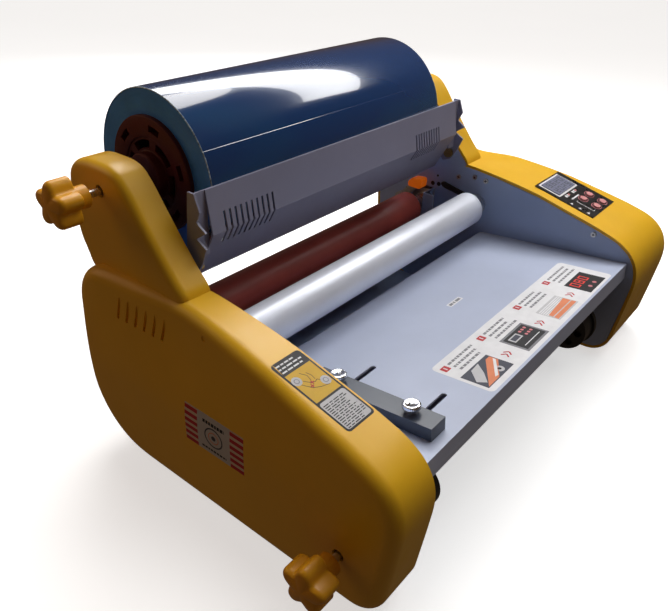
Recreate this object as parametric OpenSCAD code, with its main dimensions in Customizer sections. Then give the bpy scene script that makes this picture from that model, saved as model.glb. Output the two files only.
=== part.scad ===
// Desktop hot-and-cold roll laminator. Millimetres, +X to the operator's right, +Y to the back, +Z up.
// The operator feeds sheets from the front, down the sloping table, into the heated nip.

/* [Housings] */
// Clear width between the two side housings
inner_w = 440; // [430:1:450]
// Width of the left housing
left_w = 50; // [48:1:54]
// Width of the right housing, which holds the drive and the controls
right_w = 120; // [116:1:124]
// Width of the left arm that carries the film roll
left_arm_w = 30; // [28:1:34]
// Width of the right arm
right_arm_w = 42; // [38:1:46]
// Wall thickness of the moulded covers
wall = 3.5; // [3:0.5:4]
// Radius of the lower housing's outer edge
edge_r = 12; // [10:1:14]
// Radius of the arms' outer edge
arm_edge_r = 8; // [6:1:9]

/* [Rollers] */
// Radius of the two silicone nip rollers
nip_r = 21; // [20:0.5:21.5]
// Length of the silicone nip rollers
nip_len = 360; // [350:2:366]
// Radius of the idler roller in front of the nip
idler_r = 21; // [18:0.5:22]
// Length of the idler roller
idler_len = 394; // [380:2:400]
// Radius of the two rear pull rollers
pull_r = 13; // [11:0.5:13.5]
// Lift of the upper nip roller when the pressure lever is released
nip_lift = 2; // [1:0.5:2]

/* [Film supply] */
// Outer radius of the film roll
film_r = 76.5; // [60:0.5:77]
// Width of the film roll
film_len = 358; // [340:1:360]
// Outer radius of the film's core tube
core_r = 53; // [50:0.5:55]

/* [Table] */
// Slope of the feed table in degrees
table_tilt = 5.5; // [4:0.5:7]
// Length of the table along the feed direction
table_len = 194; // [188:1:196]
// Thickness of the sheet steel
sheet_t = 2; // [1.5:0.5:2.5]
// Height of the table's front lip
lip_h = 19; // [16:1:22]

/* [Controls] */
// Size of the control plate across the machine
panel_w = 70; // [66:1:74]
// Size of the control plate along the slope
panel_d = 81; // [76:1:84]
// Half the height of the oval buttons
button_r = 4; // [3:0.5:4.5]

/* [Hidden] */

$fn = 48;
run_fit = 0.05;
air = 0.3;

// Colours
yellow = [0.93, 0.65, 0.12];
plate_grey = [0.36, 0.38, 0.43];
table_grey = [0.62, 0.65, 0.72];
guard_grey = [0.35, 0.35, 0.39];
steel = [0.75, 0.76, 0.78];
silicone_red = [0.42, 0.15, 0.12];
film_blue = [0.06, 0.2, 0.42];
black = [0.08, 0.08, 0.09];
zinc = [0.6, 0.61, 0.63];

// Side positions
half_w = inner_w / 2;
plate_t = 3;
plate_out = half_w + plate_t;

// Roller and shaft axes, as [y, z]
upper_nip = [107, 136.8];
lower_nip = [107, upper_nip[1] - 2 * nip_r - air];
idler_axis = [27, 152.6];
upper_pull = [153, 109.2];
lower_pull = [153, upper_pull[1] - 2 * pull_r - air];
upper_supply = [145, 272.3];
lower_supply = [-139, 59.5];
cam_axis = [136, 136];
guard_axis = [72, 213];

// Outline of the lower housing seen from the side, as [y, z], front at low y, counter-clockwise
floor_gap = 8;
front_corner_r = 28;
rear_corner_r = 78;
shoulder_r = 35;
shoulder_bulge = 4;
nose_y = -189;
rear_y = 182;
body_top_z = 200;
function arc(c, r, from, to, n) =
    [for (i = [0 : n]) c + r * [cos(from + (to - from) * i / n), sin(from + (to - from) * i / n)]];
body_outline = concat(
    [[43.6, 201], [7, 197], [-55, 187], [-131, 167.5], [-159, 159], [-175, 148], [-184, 136],
     [nose_y + 0.3, 120], [nose_y, 107], [-185, 73], [-181, 46]],
    arc([nose_y + 9 + front_corner_r, floor_gap + front_corner_r], front_corner_r, 180, 270, 4),
    arc([rear_y - rear_corner_r, floor_gap + rear_corner_r], rear_corner_r, -90, 0, 6),
    arc([rear_y + shoulder_bulge - shoulder_r, body_top_z - shoulder_r], shoulder_r, 0, 90, 4)
);
// The arm leans back from the housing and is bent slightly at its middle
arm_low = [[80, 240], [43.6, 201], [60, 170], [150, 170], [179, 198], [190, 220], [194, 240]];
arm_high = [[126, 296], [117, 292], [80, 240], [88, 222], [190, 220], [194, 240], [194, 276], [188, 289], [170, 296]];
arm_outline = [[126, 296], [117, 292], [80, 240], [43.6, 201], [60, 170], [150, 170], [179, 198],
               [190, 220], [194, 240], [194, 276], [188, 289], [170, 296]];

function unit(v) = v / norm(v);
function left_of(u) = [-u[1], u[0]];
function inset(pts, d) =
    let (n = len(pts))
    [for (i = [0 : n - 1])
        let (u = left_of(unit(pts[i] - pts[(i + n - 1) % n])),
             w = left_of(unit(pts[(i + 1) % n] - pts[i])),
             m = unit(u + w))
        pts[i] + m * d / (m * u)];
function clamp01(v) = max(0, min(1, v));
// The housings are narrowest at the neck, and grow wider towards the front, the back and the floor
rear_relief = 0.6;
function depth_at(p, w, taper) =
    w - taper * clamp01((p[1] - 110) / 90) * clamp01((p[0] + 160) / 200)
        * (1 - rear_relief * clamp01((p[0] - 60) / 100));
left_taper = 15;
right_taper = 32;

// Tension studs, collars and star knobs on the left
stud_r = 3.5;
star_r = 21;
star_h = 23;
collar_r = 10;
collar_h = 12;
upper_collar_x = -(half_w + left_arm_w + 14);
lower_collar_x = -(half_w + left_w + 9);

// The machine's frame: the bounding box's centre, on the floor
lower_knob_end = lower_collar_x - collar_h - air - star_h;
film_back = upper_supply[0] + film_r;
shift = [-(half_w + right_w + lower_knob_end) / 2, -(film_back + nose_y) / 2, 0];

// Table frame: its origin is on the top surface
table_origin = [-97, 127.5];
table_front = -77.4;
slot_ys = [-42.2, 32.3];
slot_x = [-186, -130];
slot_w = 5.4;
guide_x = -179.5;
guide_w = 20.5;
guide_h = 12;
guide_y = [-67, 57];
thumb_r = 8;

// Control panel frame: on the sloping top of the right housing
panel_x = 270;
panel_y = -80;
panel_tilt = atan((187 - 167.5) / (131 - 55));
panel_z = 187 + (panel_y + 55) * tan(panel_tilt);
panel_t = 0.8;
button_xy = [[18.3, -12.4], [-1, -12.4], [18.3, -31], [-1, -31]];
button_rise = 1.4;
button_oval = 2;
button_flange = 1.5;
button_travel = 1;

// Gears
gear_m = 2;
nip_teeth = 21;
pinion_teeth = 12;
gear_w = 10;
gear_x = plate_out + 7;
pinion_dir = 200;
pinion_dist = gear_m * (nip_teeth + pinion_teeth) / 2 + air;
pinion_axis = lower_nip + pinion_dist * [cos(pinion_dir), sin(pinion_dir)];
pulley_w = 9;
pulley_x = -(plate_out + 5);
drive_pulley_r = 16;
pull_pulley_r = drive_pulley_r * pull_r / nip_r;
belt_t = 1.6;

module machine() { translate(shift) children(); }

// A solid of revolution along X: from x0, length h, at [y, z]
module bar_x(at, x0, h, r) {
    translate([x0, at[0], at[1]]) rotate([0, 90, 0]) cylinder(r = r, h = h);
}
// A side-view outline extruded along X from x0
module side_extrude(x0, h) {
    translate([x0, 0, 0]) rotate([90, 0, 90]) linear_extrude(height = h) children();
}
module table_frame() {
    translate([0, table_origin[0], table_origin[1]]) rotate([-table_tilt, 0, 0]) children();
}
module panel_frame() {
    translate([panel_x, panel_y, panel_z]) rotate([panel_tilt, 0, 0]) children();
}

// One convex piece of a cover: rounded on its outer edge, open towards the machine
module shell_lobe(side, pts, r, w, taper) {
    centres = inset(pts, r);
    hull() {
        for (i = [0 : len(pts) - 1]) {
            translate([side * (half_w + depth_at(pts[i], w, taper) - r), centres[i][0], centres[i][1]])
                sphere(r = r, $fn = 28);
            translate([side * (half_w + 0.5) - 0.5, centres[i][0], centres[i][1]])
                rotate([0, 90, 0]) cylinder(r = r, h = 1, $fn = 28);
        }
    }
}
// The hollow inside one piece of a cover
module shell_hollow(side, pts, r, w, taper) {
    mouth = inset(pts, wall);
    deep = inset(pts, r + wall / 2);
    hull() {
        side_extrude(side > 0 ? half_w - 1 : -half_w - 5, 6) polygon(mouth);
        for (i = [0 : len(pts) - 1])
            translate([side * (half_w + depth_at(pts[i], w, taper) - r), deep[i][0], deep[i][1]])
                sphere(r = r - wall, $fn = 8);
    }
}
// Room for the side plate inside the arm's rim
module plate_seat(side) {
    side_extrude(side > 0 ? half_w - 1 : -half_w - 5, 6) polygon(inset(arm_outline, wall));
}
vent_count = 6;
vent_pitch = 11.4;
vent_size = [60, 3, 22];
vent_lean = 9;
module vent_slots(side, face_x) {
    for (i = [0 : vent_count - 1])
        translate([side * (face_x - vent_size[0] / 4), 66 + vent_pitch * i, 170 + 0.2 * i])
            rotate([vent_lean, 0, 0]) cube(vent_size, center = true);
}
module left_cover() {
    color(yellow) machine() difference() {
        union() {
            shell_lobe(-1, body_outline, edge_r, left_w, left_taper);
            shell_lobe(-1, arm_low, arm_edge_r, left_arm_w, 0);
            shell_lobe(-1, arm_high, arm_edge_r, left_arm_w, 0);
        }
        shell_hollow(-1, body_outline, edge_r, left_w, left_taper);
        shell_hollow(-1, arm_low, arm_edge_r, left_arm_w, 0);
        shell_hollow(-1, arm_high, arm_edge_r, left_arm_w, 0);
        plate_seat(-1);
        vent_slots(-1, half_w + left_w);
        bar_x(upper_supply, -half_w - 60, 60, stud_r + 2.5);
        bar_x(lower_supply, -half_w - 70, 70, stud_r + 2.5);
    }
}
inlet_y = rear_y;
inlet_z = 90;
inlet_x = 270;
module right_cover() {
    color(yellow) machine() difference() {
        union() {
            shell_lobe(1, body_outline, edge_r, right_w, right_taper);
            shell_lobe(1, arm_low, arm_edge_r, right_arm_w, 0);
            shell_lobe(1, arm_high, arm_edge_r, right_arm_w, 0);
        }
        shell_hollow(1, body_outline, edge_r, right_w, right_taper);
        shell_hollow(1, arm_low, arm_edge_r, right_arm_w, 0);
        shell_hollow(1, arm_high, arm_edge_r, right_arm_w, 0);
        plate_seat(1);
        vent_slots(1, half_w + right_w);
        panel_frame() for (b = button_xy)
            translate([b[0], b[1], -8]) linear_extrude(height = 16) button_outline(air);
        translate([inlet_x - 24.3, inlet_y - 12, inlet_z + 2.7]) cube([48.6, 20, 28.6]);
        translate([inlet_x - 28, inlet_y, inlet_z - 1]) cube([56, 10, 36]);
    }
}

// Side plates carry every shaft. They close the covers and sit flush with their rims.
module plate_profile() {
    polygon(inset(body_outline, wall + air));
    polygon(inset(arm_outline, wall + air));
}
block_w = 32;
block_h = 36;
module side_plate(side) {
    x0 = side > 0 ? half_w : -plate_out;
    difference() {
        side_extrude(x0, plate_t) plate_profile();
        for (a = [[upper_supply, 8], [lower_supply, 6], [guard_axis, 3]])
            bar_x(a[0], x0 - 1, plate_t + 2, a[1] + run_fit);
        bar_x(idler_axis, x0 - 1, plate_t + 2, 6);
        bar_x(cam_axis, x0 - 1, plate_t + 2, 4 + run_fit);
        for (a = [lower_nip, upper_pull, lower_pull])
            bar_x(a, x0 - 1, plate_t + 2, a == lower_nip ? 13 : 8.5);
        translate([x0 - 1, upper_nip[0] - block_w / 2 - air, upper_nip[1] - block_h / 2 - 0.5])
            cube([plate_t + 2, block_w + 2 * air, block_h + nip_lift + 1]);
        bar_x(upper_nip, x0 - 1, plate_t + 2, 4);
    }
}
module left_side_plate() { color(plate_grey) machine() side_plate(-1); }
module right_side_plate() { color(plate_grey) machine() side_plate(1); }

// One folded sheet makes the floor and the rear wall. Film leaves between that wall and the rear rail.
pan_front = -105;
pan_back = 174;
pan_z = 14;
pan_lip = 14;
rear_wall_top = 84;
module base_pan() {
    color(plate_grey) machine() side_extrude(-half_w, inner_w) union() {
        translate([pan_front, pan_z]) square([pan_back - pan_front, sheet_t]);
        translate([pan_front, pan_z]) square([sheet_t, pan_lip]);
        translate([pan_back - sheet_t, pan_z]) square([sheet_t, rear_wall_top - pan_z]);
        translate([pan_back - 8, rear_wall_top - sheet_t]) square([8, sheet_t]);
    }
}
module cross_rails() {
    color(zinc) machine() union() {
        for (a = [[-75, 50], [40, 60]]) bar_x(a, -half_w, inner_w, 6);
        translate([-half_w, 176, 102]) cube([inner_w, 6, 6]);
    }
}
foot_y = [-85, 135];
module feet() {
    color(black) machine() for (x = [-195, 195], y = foot_y) translate([x, y, 0]) {
        cylinder(r1 = 11, r2 = 13, h = 4);
        translate([0, 0, 4]) cylinder(r = 13, h = pan_z - 4);
    }
}

// The feed table is one folded sheet with a lip at the front and a rolled edge at the back
curl_r = 6;
module feed_table() {
    color(table_grey) machine() table_frame() difference() {
        union() {
            side_extrude(-half_w + 0.5, inner_w - 1) union() {
                translate([table_front, -sheet_t]) square([table_len - curl_r, sheet_t]);
                translate([table_front, -lip_h]) square([sheet_t, lip_h]);
                translate([table_front + table_len - curl_r, -curl_r]) difference() {
                    circle(r = curl_r);
                    circle(r = curl_r - sheet_t);
                    translate([-2 * curl_r, -curl_r]) square([2 * curl_r, 3 * curl_r]);
                    translate([-curl_r, -2 * curl_r]) square([2 * curl_r + 1, 2 * curl_r]);
                }
                translate([table_front + table_len - sheet_t, -curl_r - 6]) square([sheet_t, 6.01]);
            }
        }
        for (y = slot_ys) {
            translate([slot_x[0], y - slot_w / 2, -10])
                cube([slot_x[1] - slot_x[0], slot_w, 20]);
            for (x = slot_x) translate([x, y, -10]) cylinder(r = slot_w / 2, h = 20);
        }
        for (s = [-1, 1]) translate([s * (half_w - 9), table_front + table_len - 8, -20]) difference() {
            translate([s > 0 ? 0 : -12, 0, 0]) cube([12, 12, 40]);
            translate([0, 0, -1]) cylinder(r = 8, h = 42);
        }
    }
}
module table_brackets() {
    color(zinc) machine() table_frame() for (s = [-1, 1])
        translate([s * (half_w - 8) - 8, -60, -sheet_t - 12]) difference() {
            cube([16, 90, 12]);
            translate([s > 0 ? -1 : 2, -1, -1]) cube([15, 92, 11]);
        }
}

// Controls
module control_plate() {
    color(black) machine() panel_frame() difference() {
        translate([-panel_w / 2, -panel_d / 2, 0]) cube([panel_w, panel_d, panel_t]);
        for (b = button_xy) translate([b[0], b[1], -1]) linear_extrude(height = 3) button_outline(air);
    }
}
module display_window() {
    color([0.25, 0.28, 0.3]) machine() panel_frame()
        translate([-26.5, 10.2, panel_t]) cube([49, 25.6, 1.2]);
}
module indicator_lamps() {
    color("red") machine() panel_frame() for (p = [[8.6, 3.4], [-11.5, 3.4]])
        translate([p[0], p[1], panel_t]) cylinder(r = 1.6, h = 0.8);
}
module control_board() {
    color([0.05, 0.3, 0.15]) machine() panel_frame() union() {
        translate([-32, -38, -13]) cube([64, 76, 1.6]);
        translate([-24, 12, -11.4]) cube([44, 18, 4.5]);
        for (b = button_xy) translate([b[0] - 3, b[1] - 3, -11.4]) cube([6, 6, 2.5]);
        for (x = [-26, -18]) translate([x, -24, -11.4]) cube([6, 10, 3]);
    }
}
module power_board() {
    color([0.05, 0.3, 0.15]) machine() union() {
        translate([262, -120, 24]) cube([60, 90, 1.6]);
        translate([268, -110, 25.6]) cube([30, 34, 26]);
        for (y = [-66, -48]) translate([310, y, 25.6]) cylinder(r = 7, h = 22);
        translate([270, -64, 25.6]) cube([24, 8, 18]);
        for (x = [266, 318], y = [-116, -34]) translate([x, y, 13.8]) cylinder(r = 2, h = 10.2);
    }
}
// Mains inlet with a rocker switch beside it, in the flat part of the right housing's back
socket = [24, 17, 20];
switch_w = 13;
switch_h = 22;
switch_tilt = 8;
switch_pivot = [inlet_y - 1, inlet_z + 17];
module power_inlet() {
    color(black) machine() difference() {
        union() {
            translate([inlet_x - 24, inlet_y - 22, inlet_z + 3]) cube([48, 22, 28]);
            translate([inlet_x - 27, inlet_y, inlet_z]) cube([54, 2.5, 34]);
        }
        difference() {
            translate([inlet_x - 21, inlet_y + 2.5 - socket[1], inlet_z + 7]) cube(socket + [0, 1, 0]);
            for (k = [[-7, -2], [0, 3], [7, -2]])
                translate([inlet_x - 9 + k[0] - 1, inlet_y - socket[1], inlet_z + 14.5 + k[1]])
                    cube([2, 14, 5]);
        }
        translate([inlet_x + 8, inlet_y - 10, switch_pivot[1] - switch_h / 2])
            cube([switch_w, 20, switch_h]);
    }
}
module power_switch() {
    color(black) machine() translate([inlet_x + 8 + air, switch_pivot[0], switch_pivot[1]])
        side_extrude(0, switch_w - 2 * air) rotate(-switch_tilt) union() {
            circle(r = 5);
            polygon([[0, -9.4], [3.6, -9.4], [2.2, 0], [3.6, 9.4], [0, 9.4], [-4, 0]]);
        }
}

// Drive
module gear_motor() {
    color(zinc) machine() difference() {
        union() {
            bar_x(pinion_axis, gear_x + gear_w + 4, 26, 24);
            bar_x(pinion_axis, gear_x + gear_w + 30, 46, 20);
            for (a = [-90, 180, 90])
                bar_x(pinion_axis + 20 * [cos(a + pinion_dir - 180), sin(a + pinion_dir - 180)],
                      plate_out, gear_x + gear_w + 5 - plate_out, 3.5);
        }
        bar_x(pinion_axis, gear_x + gear_w, 22, 4 + run_fit);
    }
}
module gear_shape(teeth, phase) {
    step = 360 / teeth;
    root_r = gear_m * (teeth / 2 - 1.25);
    tip_r = gear_m * (teeth / 2 + 0.85);
    polygon([for (i = [0 : teeth - 1], k = [[root_r, -0.28], [tip_r, -0.1], [tip_r, 0.1], [root_r, 0.28]])
        let (a = phase + step * (i + k[1])) k[0] * [cos(a), sin(a)]]);
}
// Tooth angle that puts the mating gear's gap opposite a tooth
function mesh_phase(phase, teeth, mate_teeth, dir) =
    dir + 180 - (phase - dir) * teeth / mate_teeth + 180 / mate_teeth;
module gear(at, teeth, phase, bore) {
    difference() {
        translate([0, at[0], at[1]]) side_extrude(gear_x, gear_w) gear_shape(teeth, phase);
        bar_x(at, gear_x - 1, gear_w + 2, bore);
    }
}
lower_phase = 90;
module lower_nip_gear() { color(zinc) machine() gear(lower_nip, nip_teeth, lower_phase, 10); }
module upper_nip_gear() {
    color(zinc) machine()
        gear(upper_nip, nip_teeth, mesh_phase(lower_phase, nip_teeth, nip_teeth, 90), 10);
}
module motor_pinion() {
    color(zinc) machine() union() {
        gear(pinion_axis, pinion_teeth, mesh_phase(lower_phase, nip_teeth, pinion_teeth, pinion_dir), 3);
        bar_x(pinion_axis, gear_x - 3, gear_w + 22, 4);
    }
}
module pulley(at, r, bore) {
    difference() {
        union() {
            bar_x(at, pulley_x - pulley_w, pulley_w, r);
            for (x = [pulley_x - pulley_w - 1, pulley_x]) bar_x(at, x, 1, r + belt_t + 1);
        }
        bar_x(at, pulley_x - pulley_w - 2, pulley_w + 4, bore);
    }
}
module drive_pulley() { color(black) machine() pulley(lower_nip, drive_pulley_r, 10); }
module pull_pulley() { color(black) machine() pulley(lower_pull, pull_pulley_r, 6); }
// The belt runs 0.3 mm clear of both pulleys
module belt_outline(r0, r1) {
    d = lower_pull - lower_nip;
    a = atan2(d[1], d[0]);
    lean = acos((r0 - r1) / norm(d));
    translate(lower_nip) circle(r = r0);
    translate(lower_pull) circle(r = r1);
    polygon([for (k = [[lower_nip, r0, a + lean], [lower_nip, r0, a - lean],
                       [lower_pull, r1, a - lean], [lower_pull, r1, a + lean]])
        k[0] + k[1] * [cos(k[2]), sin(k[2])]]);
}
module drive_belt() {
    color([0.12, 0.12, 0.12]) machine() difference() {
        side_extrude(pulley_x - pulley_w + air, pulley_w - 2 * air)
            belt_outline(drive_pulley_r + air + belt_t, pull_pulley_r + air + belt_t);
        side_extrude(pulley_x - pulley_w - 1, pulley_w + 2)
            belt_outline(drive_pulley_r + air, pull_pulley_r + air);
    }
}
module bearing(at, r_out, r_in, side) {
    difference() {
        union() {
            bar_x(at, side > 0 ? half_w : -plate_out, plate_t, r_out);
            bar_x(at, side > 0 ? half_w - 3 : -half_w, 3, r_out + 2);
        }
        bar_x(at, side > 0 ? half_w - 4 : -plate_out - 1, plate_t + 5, r_in + run_fit);
    }
}
module roller_bearings() {
    color(steel) machine() for (s = [-1, 1]) {
        bearing(lower_nip, 13, 10, s);
        bearing(upper_pull, 8.5, 6, s);
        bearing(lower_pull, 8.5, 6, s);
    }
}

// Nip rollers
journal_r = 10;
module nip_core(at, x_left, x_right) {
    difference() {
        union() {
            bar_x(at, -nip_len / 2, nip_len, nip_r - 4);
            bar_x(at, x_left, x_right - x_left, journal_r);
        }
        bar_x(at, x_left - 1, x_right - x_left + 2, 7);
    }
}
module nip_sleeve(at) {
    difference() {
        bar_x(at, -nip_len / 2, nip_len, nip_r);
        bar_x(at, -nip_len / 2 - 1, nip_len + 2, nip_r - 4);
    }
}
module upper_nip_core() { color(steel) machine() nip_core(upper_nip, -plate_out - 3, gear_x + gear_w); }
module lower_nip_core() {
    color(steel) machine() nip_core(lower_nip, pulley_x - pulley_w - 1, gear_x + gear_w);
}
module upper_nip_sleeve() { color(silicone_red) machine() nip_sleeve(upper_nip); }
module lower_nip_sleeve() { color(silicone_red) machine() nip_sleeve(lower_nip); }
// The heater rods stand still inside the rollers, held by a strap on a post at each end
rod_x = [-246, 254];
module rod_strap(x, post, plate_x) {
    bar_x(post, min(x, plate_x), abs(x - plate_x) + (x > 0 ? 1 : 0), 3);
    side_extrude(x, 3) union() {
        translate([upper_nip[0] - 5.5, lower_nip[1] - 8]) square([12, upper_nip[1] - lower_nip[1] + 16]);
        translate([min(post[0], upper_nip[0]) - 4, post[1] - 5]) square([abs(post[0] - upper_nip[0]) + 8, 10]);
    }
}
module heater_rods() {
    color([0.9, 0.9, 0.85]) machine() union() {
        for (a = [upper_nip, lower_nip]) bar_x(a, rod_x[0], rod_x[1] - rod_x[0] + 3, 3.2);
        rod_strap(rod_x[0], [80, 118], -plate_out);
        rod_strap(rod_x[1], [137, 108], plate_out);
    }
}
cam_r = 8.6;
cam_offset = 4;
ear_top = cam_axis[1] - cam_offset - cam_r - 0.8;
module pressure_block(side) {
    x0 = side > 0 ? half_w - 4 : -plate_out - 5;
    ear_x = side > 0 ? plate_out + 0.5 : -plate_out - 5;
    difference() {
        union() {
            translate([x0, upper_nip[0] - block_w / 2, upper_nip[1] - block_h / 2])
                cube([plate_t + 9, block_w, block_h]);
            translate([ear_x, upper_nip[0], ear_top - 6]) cube([4.5, 36, 6]);
        }
        bar_x(upper_nip, x0 - 1, plate_t + 11, journal_r + run_fit);
    }
}
module pressure_blocks() { color(zinc) machine() for (s = [-1, 1]) pressure_block(s); }
lever_x = 206;
grip_centre = [110, 166];
lever_arm = grip_centre - cam_axis;
module lever_strip() {
    translate([0, cam_axis[0], cam_axis[1]]) side_extrude(lever_x, 3)
        rotate(atan2(lever_arm[1], lever_arm[0])) translate([0, -5]) square([norm(lever_arm) - 2, 10]);
}
module cam_shaft() {
    color(zinc) machine() union() {
        bar_x(cam_axis, -plate_out - 5, 2 * plate_out + 10, 4);
        for (x = [plate_out + 0.5, -plate_out - 5]) bar_x(cam_axis - [0, cam_offset], x, 4.5, cam_r);
        lever_strip();
        bar_x(cam_axis, lever_x - 2, 7, 8);
    }
}
module lever_grip() {
    color([0.92, 0.36, 0.08]) machine() difference() {
        translate([0, grip_centre[0], grip_centre[1]]) side_extrude(190, 24)
            rotate(atan2(12, -25)) union() {
                square([22, 12], center = true);
                for (s = [-1, 1]) translate([s * 11, 0]) circle(r = 6);
            }
        lever_strip();
    }
}

// Pull rollers at the back
module pull_shaft(at, x_left) {
    bar_x(at, x_left, plate_out + 2 - x_left, 6);
}
module pull_sleeve(at) {
    difference() {
        bar_x(at, -nip_len / 2, nip_len, pull_r);
        bar_x(at, -nip_len / 2 - 1, nip_len + 2, 6);
    }
}
module upper_pull_shaft() { color(steel) machine() pull_shaft(upper_pull, -plate_out - 2); }
module lower_pull_shaft() { color(steel) machine() pull_shaft(lower_pull, pulley_x - pulley_w - 1); }
module upper_pull_sleeve() { color(black) machine() pull_sleeve(upper_pull); }
module lower_pull_sleeve() { color(black) machine() pull_sleeve(lower_pull); }

// Idler roller turns on a fixed shaft
module idler_shaft() {
    color(steel) machine() union() {
        bar_x(idler_axis, -plate_out, 2 * plate_out, 6);
        for (x = [-half_w, idler_len / 2 + 2]) bar_x(idler_axis, x, half_w - idler_len / 2 - 2, 13);
    }
}
module idler_roller() {
    color([0.8, 0.82, 0.86]) machine() difference() {
        bar_x(idler_axis, -idler_len / 2, idler_len, idler_r);
        bar_x(idler_axis, -idler_len / 2 + 8, idler_len - 16, idler_r - 3);
        bar_x(idler_axis, -idler_len / 2 - 1, idler_len + 2, 6 + run_fit);
    }
}

// Film supply
film_x = -192;
chuck_r = core_r + 0.3;
hub_r = 36;
module film_roll() {
    color(film_blue) machine() difference() {
        bar_x(upper_supply, film_x, film_len, film_r);
        bar_x(upper_supply, film_x - 1, film_len + 2, core_r);
    }
}
module film_core() {
    color([0.55, 0.42, 0.3]) machine() difference() {
        bar_x(upper_supply, film_x, film_len, core_r);
        bar_x(upper_supply, film_x - 1, film_len + 2, core_r - 4);
    }
}
module core_chuck(side) {
    face = side > 0 ? film_x + film_len : film_x;
    difference() {
        union() {
            bar_x(upper_supply, side > 0 ? face : face - 5, 5, chuck_r);
            bar_x(upper_supply, side > 0 ? face - 20 : face, 20, core_r - 4);
            bar_x(upper_supply, side > 0 ? face + 5 : face - 17, 12, 16);
        }
        bar_x(upper_supply, side > 0 ? face - 21 : face - 20, 41, 8);
        bar_x(upper_supply, side > 0 ? face - 21 : face + 2, 19, core_r - 9);
        difference() {
            bar_x(upper_supply, side > 0 ? face + 2 : face - 6, 4, hub_r);
            bar_x(upper_supply, face - 30, 60, 16);
        }
        for (a = [20 : 60 : 320]) translate([0, upper_supply[0], upper_supply[1]]) rotate([a, 0, 0])
            translate([face - 6, -3, 41]) cube([12, 9, 5]);
    }
}
module core_chucks() { color([0.36, 0.12, 0.1]) machine() for (s = [-1, 1]) core_chuck(s); }
module upper_supply_shaft() {
    color(steel) machine() bar_x(upper_supply, -plate_out + 0.1, 2 * plate_out - 0.2, 8);
}
module lower_supply_shaft() {
    color(steel) machine() bar_x(lower_supply, -plate_out + 0.1, 2 * plate_out - 0.2, 6);
}
module lower_chucks() {
    color(black) machine() difference() {
        for (x = [-191, 158]) {
            bar_x(lower_supply, x, 28, 26);
            bar_x(lower_supply, x < 0 ? x : x + 22, 6, 28.5);
        }
        bar_x(lower_supply, -200, 400, 6);
        for (x = [-192, 157], a = [0 : 60 : 300])
            bar_x(lower_supply + 17 * [cos(a), sin(a)], x, 7, 4.5);
    }
}
module tension_stud(at, end_x) {
    bar_x(at, -plate_out - 6, 6, 14);
    bar_x(at, end_x, -plate_out - 5 - end_x, stud_r);
}
module tension_studs() {
    color(zinc) machine() union() {
        tension_stud(upper_supply, upper_collar_x - collar_h - 14);
        tension_stud(lower_supply, lower_collar_x - collar_h - 14);
    }
}
module collar(at, x1) {
    difference() {
        bar_x(at, x1 - collar_h, collar_h, collar_r);
        bar_x(at, x1 - collar_h - 1, collar_h + 2, stud_r + run_fit);
    }
}
module star_knob(at, x1) {
    difference() {
        translate([0, at[0], at[1]]) union() {
            side_extrude(x1 - star_h + 3, star_h - 3) star_shape(0);
            side_extrude(x1 - star_h, 3) star_shape(1.5);
        }
        bar_x(at, x1 - star_h + 4, star_h, stud_r + run_fit);
    }
}
module star_shape(trim) {
    circle(r = 14.5 - trim);
    for (a = [90 : 72 : 378]) rotate(a) {
        translate([star_r - 6.5, 0]) circle(r = 6.5 - trim);
        translate([0, -6.5 + trim]) square([star_r - 6.5, 13 - 2 * trim]);
    }
}
module upper_collar() { color(yellow) machine() collar(upper_supply, upper_collar_x); }
module lower_collar() { color(yellow) machine() collar(lower_supply, lower_collar_x); }
module upper_knob() { color(yellow) machine() star_knob(upper_supply, upper_collar_x - collar_h - air); }
module lower_knob() { color(yellow) machine() star_knob(lower_supply, lower_collar_x - collar_h - air); }

// Heat guard: a folded sheet on two ears, with ten cooling slots near each end
guard_t = 1.5;
guard_top = [66, 281];
guard_fold = [59.3, 242];
guard_foot = [85, 194.5];
guard_half = 202;
ear_x = 212.5;
guard_slot_x = [-187, 112];
guard_slot_pitch = [6.6, 5.4];
module guard_strip(p, q) {
    d = unit(q - p);
    n = left_of(d) * guard_t;
    polygon([p, q, q + n, p + n]);
}
module heat_guard() {
    color(guard_grey) machine() difference() {
        union() {
            side_extrude(-guard_half, 2 * guard_half) union() {
                guard_strip(guard_top, guard_fold);
                guard_strip(guard_fold, guard_foot);
                translate(guard_fold + [guard_t, 0]) circle(r = guard_t);
                translate(guard_top - [0, guard_t]) square([2.4, guard_t]);
            }
            for (s = [-1, 1]) {
                side_extrude(s > 0 ? ear_x : -ear_x - 2, 2) polygon([
                    [74, 281], [66, 281], [60, 266], [65, 256], [54.5, 249], [66.5, 240.5], [55, 234],
                    [61, 219], [70, 205], [80, 201], [85, 207], [80, 230], [77, 255]]);
                side_extrude(s > 0 ? guard_half - 2 : -ear_x, ear_x - guard_half + 2)
                    translate([67, 222]) square([1.5, 59]);
            }
        }
        for (g = [0, 1], i = [0 : 9])
            translate([guard_slot_x[g] + i * guard_slot_pitch[g], 50, 228]) cube([2.4, 22, 31]);
        for (s = [-1, 1]) bar_x(guard_axis, s * ear_x - 5, 10, 3 + run_fit);
    }
}
module guard_pivot_screws() {
    color([0.6, 0.48, 0.25]) machine() for (s = [-1, 1]) {
        bar_x(guard_axis, s > 0 ? ear_x - 1 : -plate_out, plate_out - ear_x + 1, 3);
        bar_x(guard_axis, s > 0 ? ear_x - 4 : -ear_x + 0.5, 3.5, 6);
    }
}
module plate_screws() {
    color(steel) machine() for (s = [-1, 1], a = [[57, 182], [34, 187], [18, 186], [-129, 158], [-153, 33]])
        bar_x(a, s > 0 ? half_w - 2 : -half_w, 2, 3.2);
}

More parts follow.
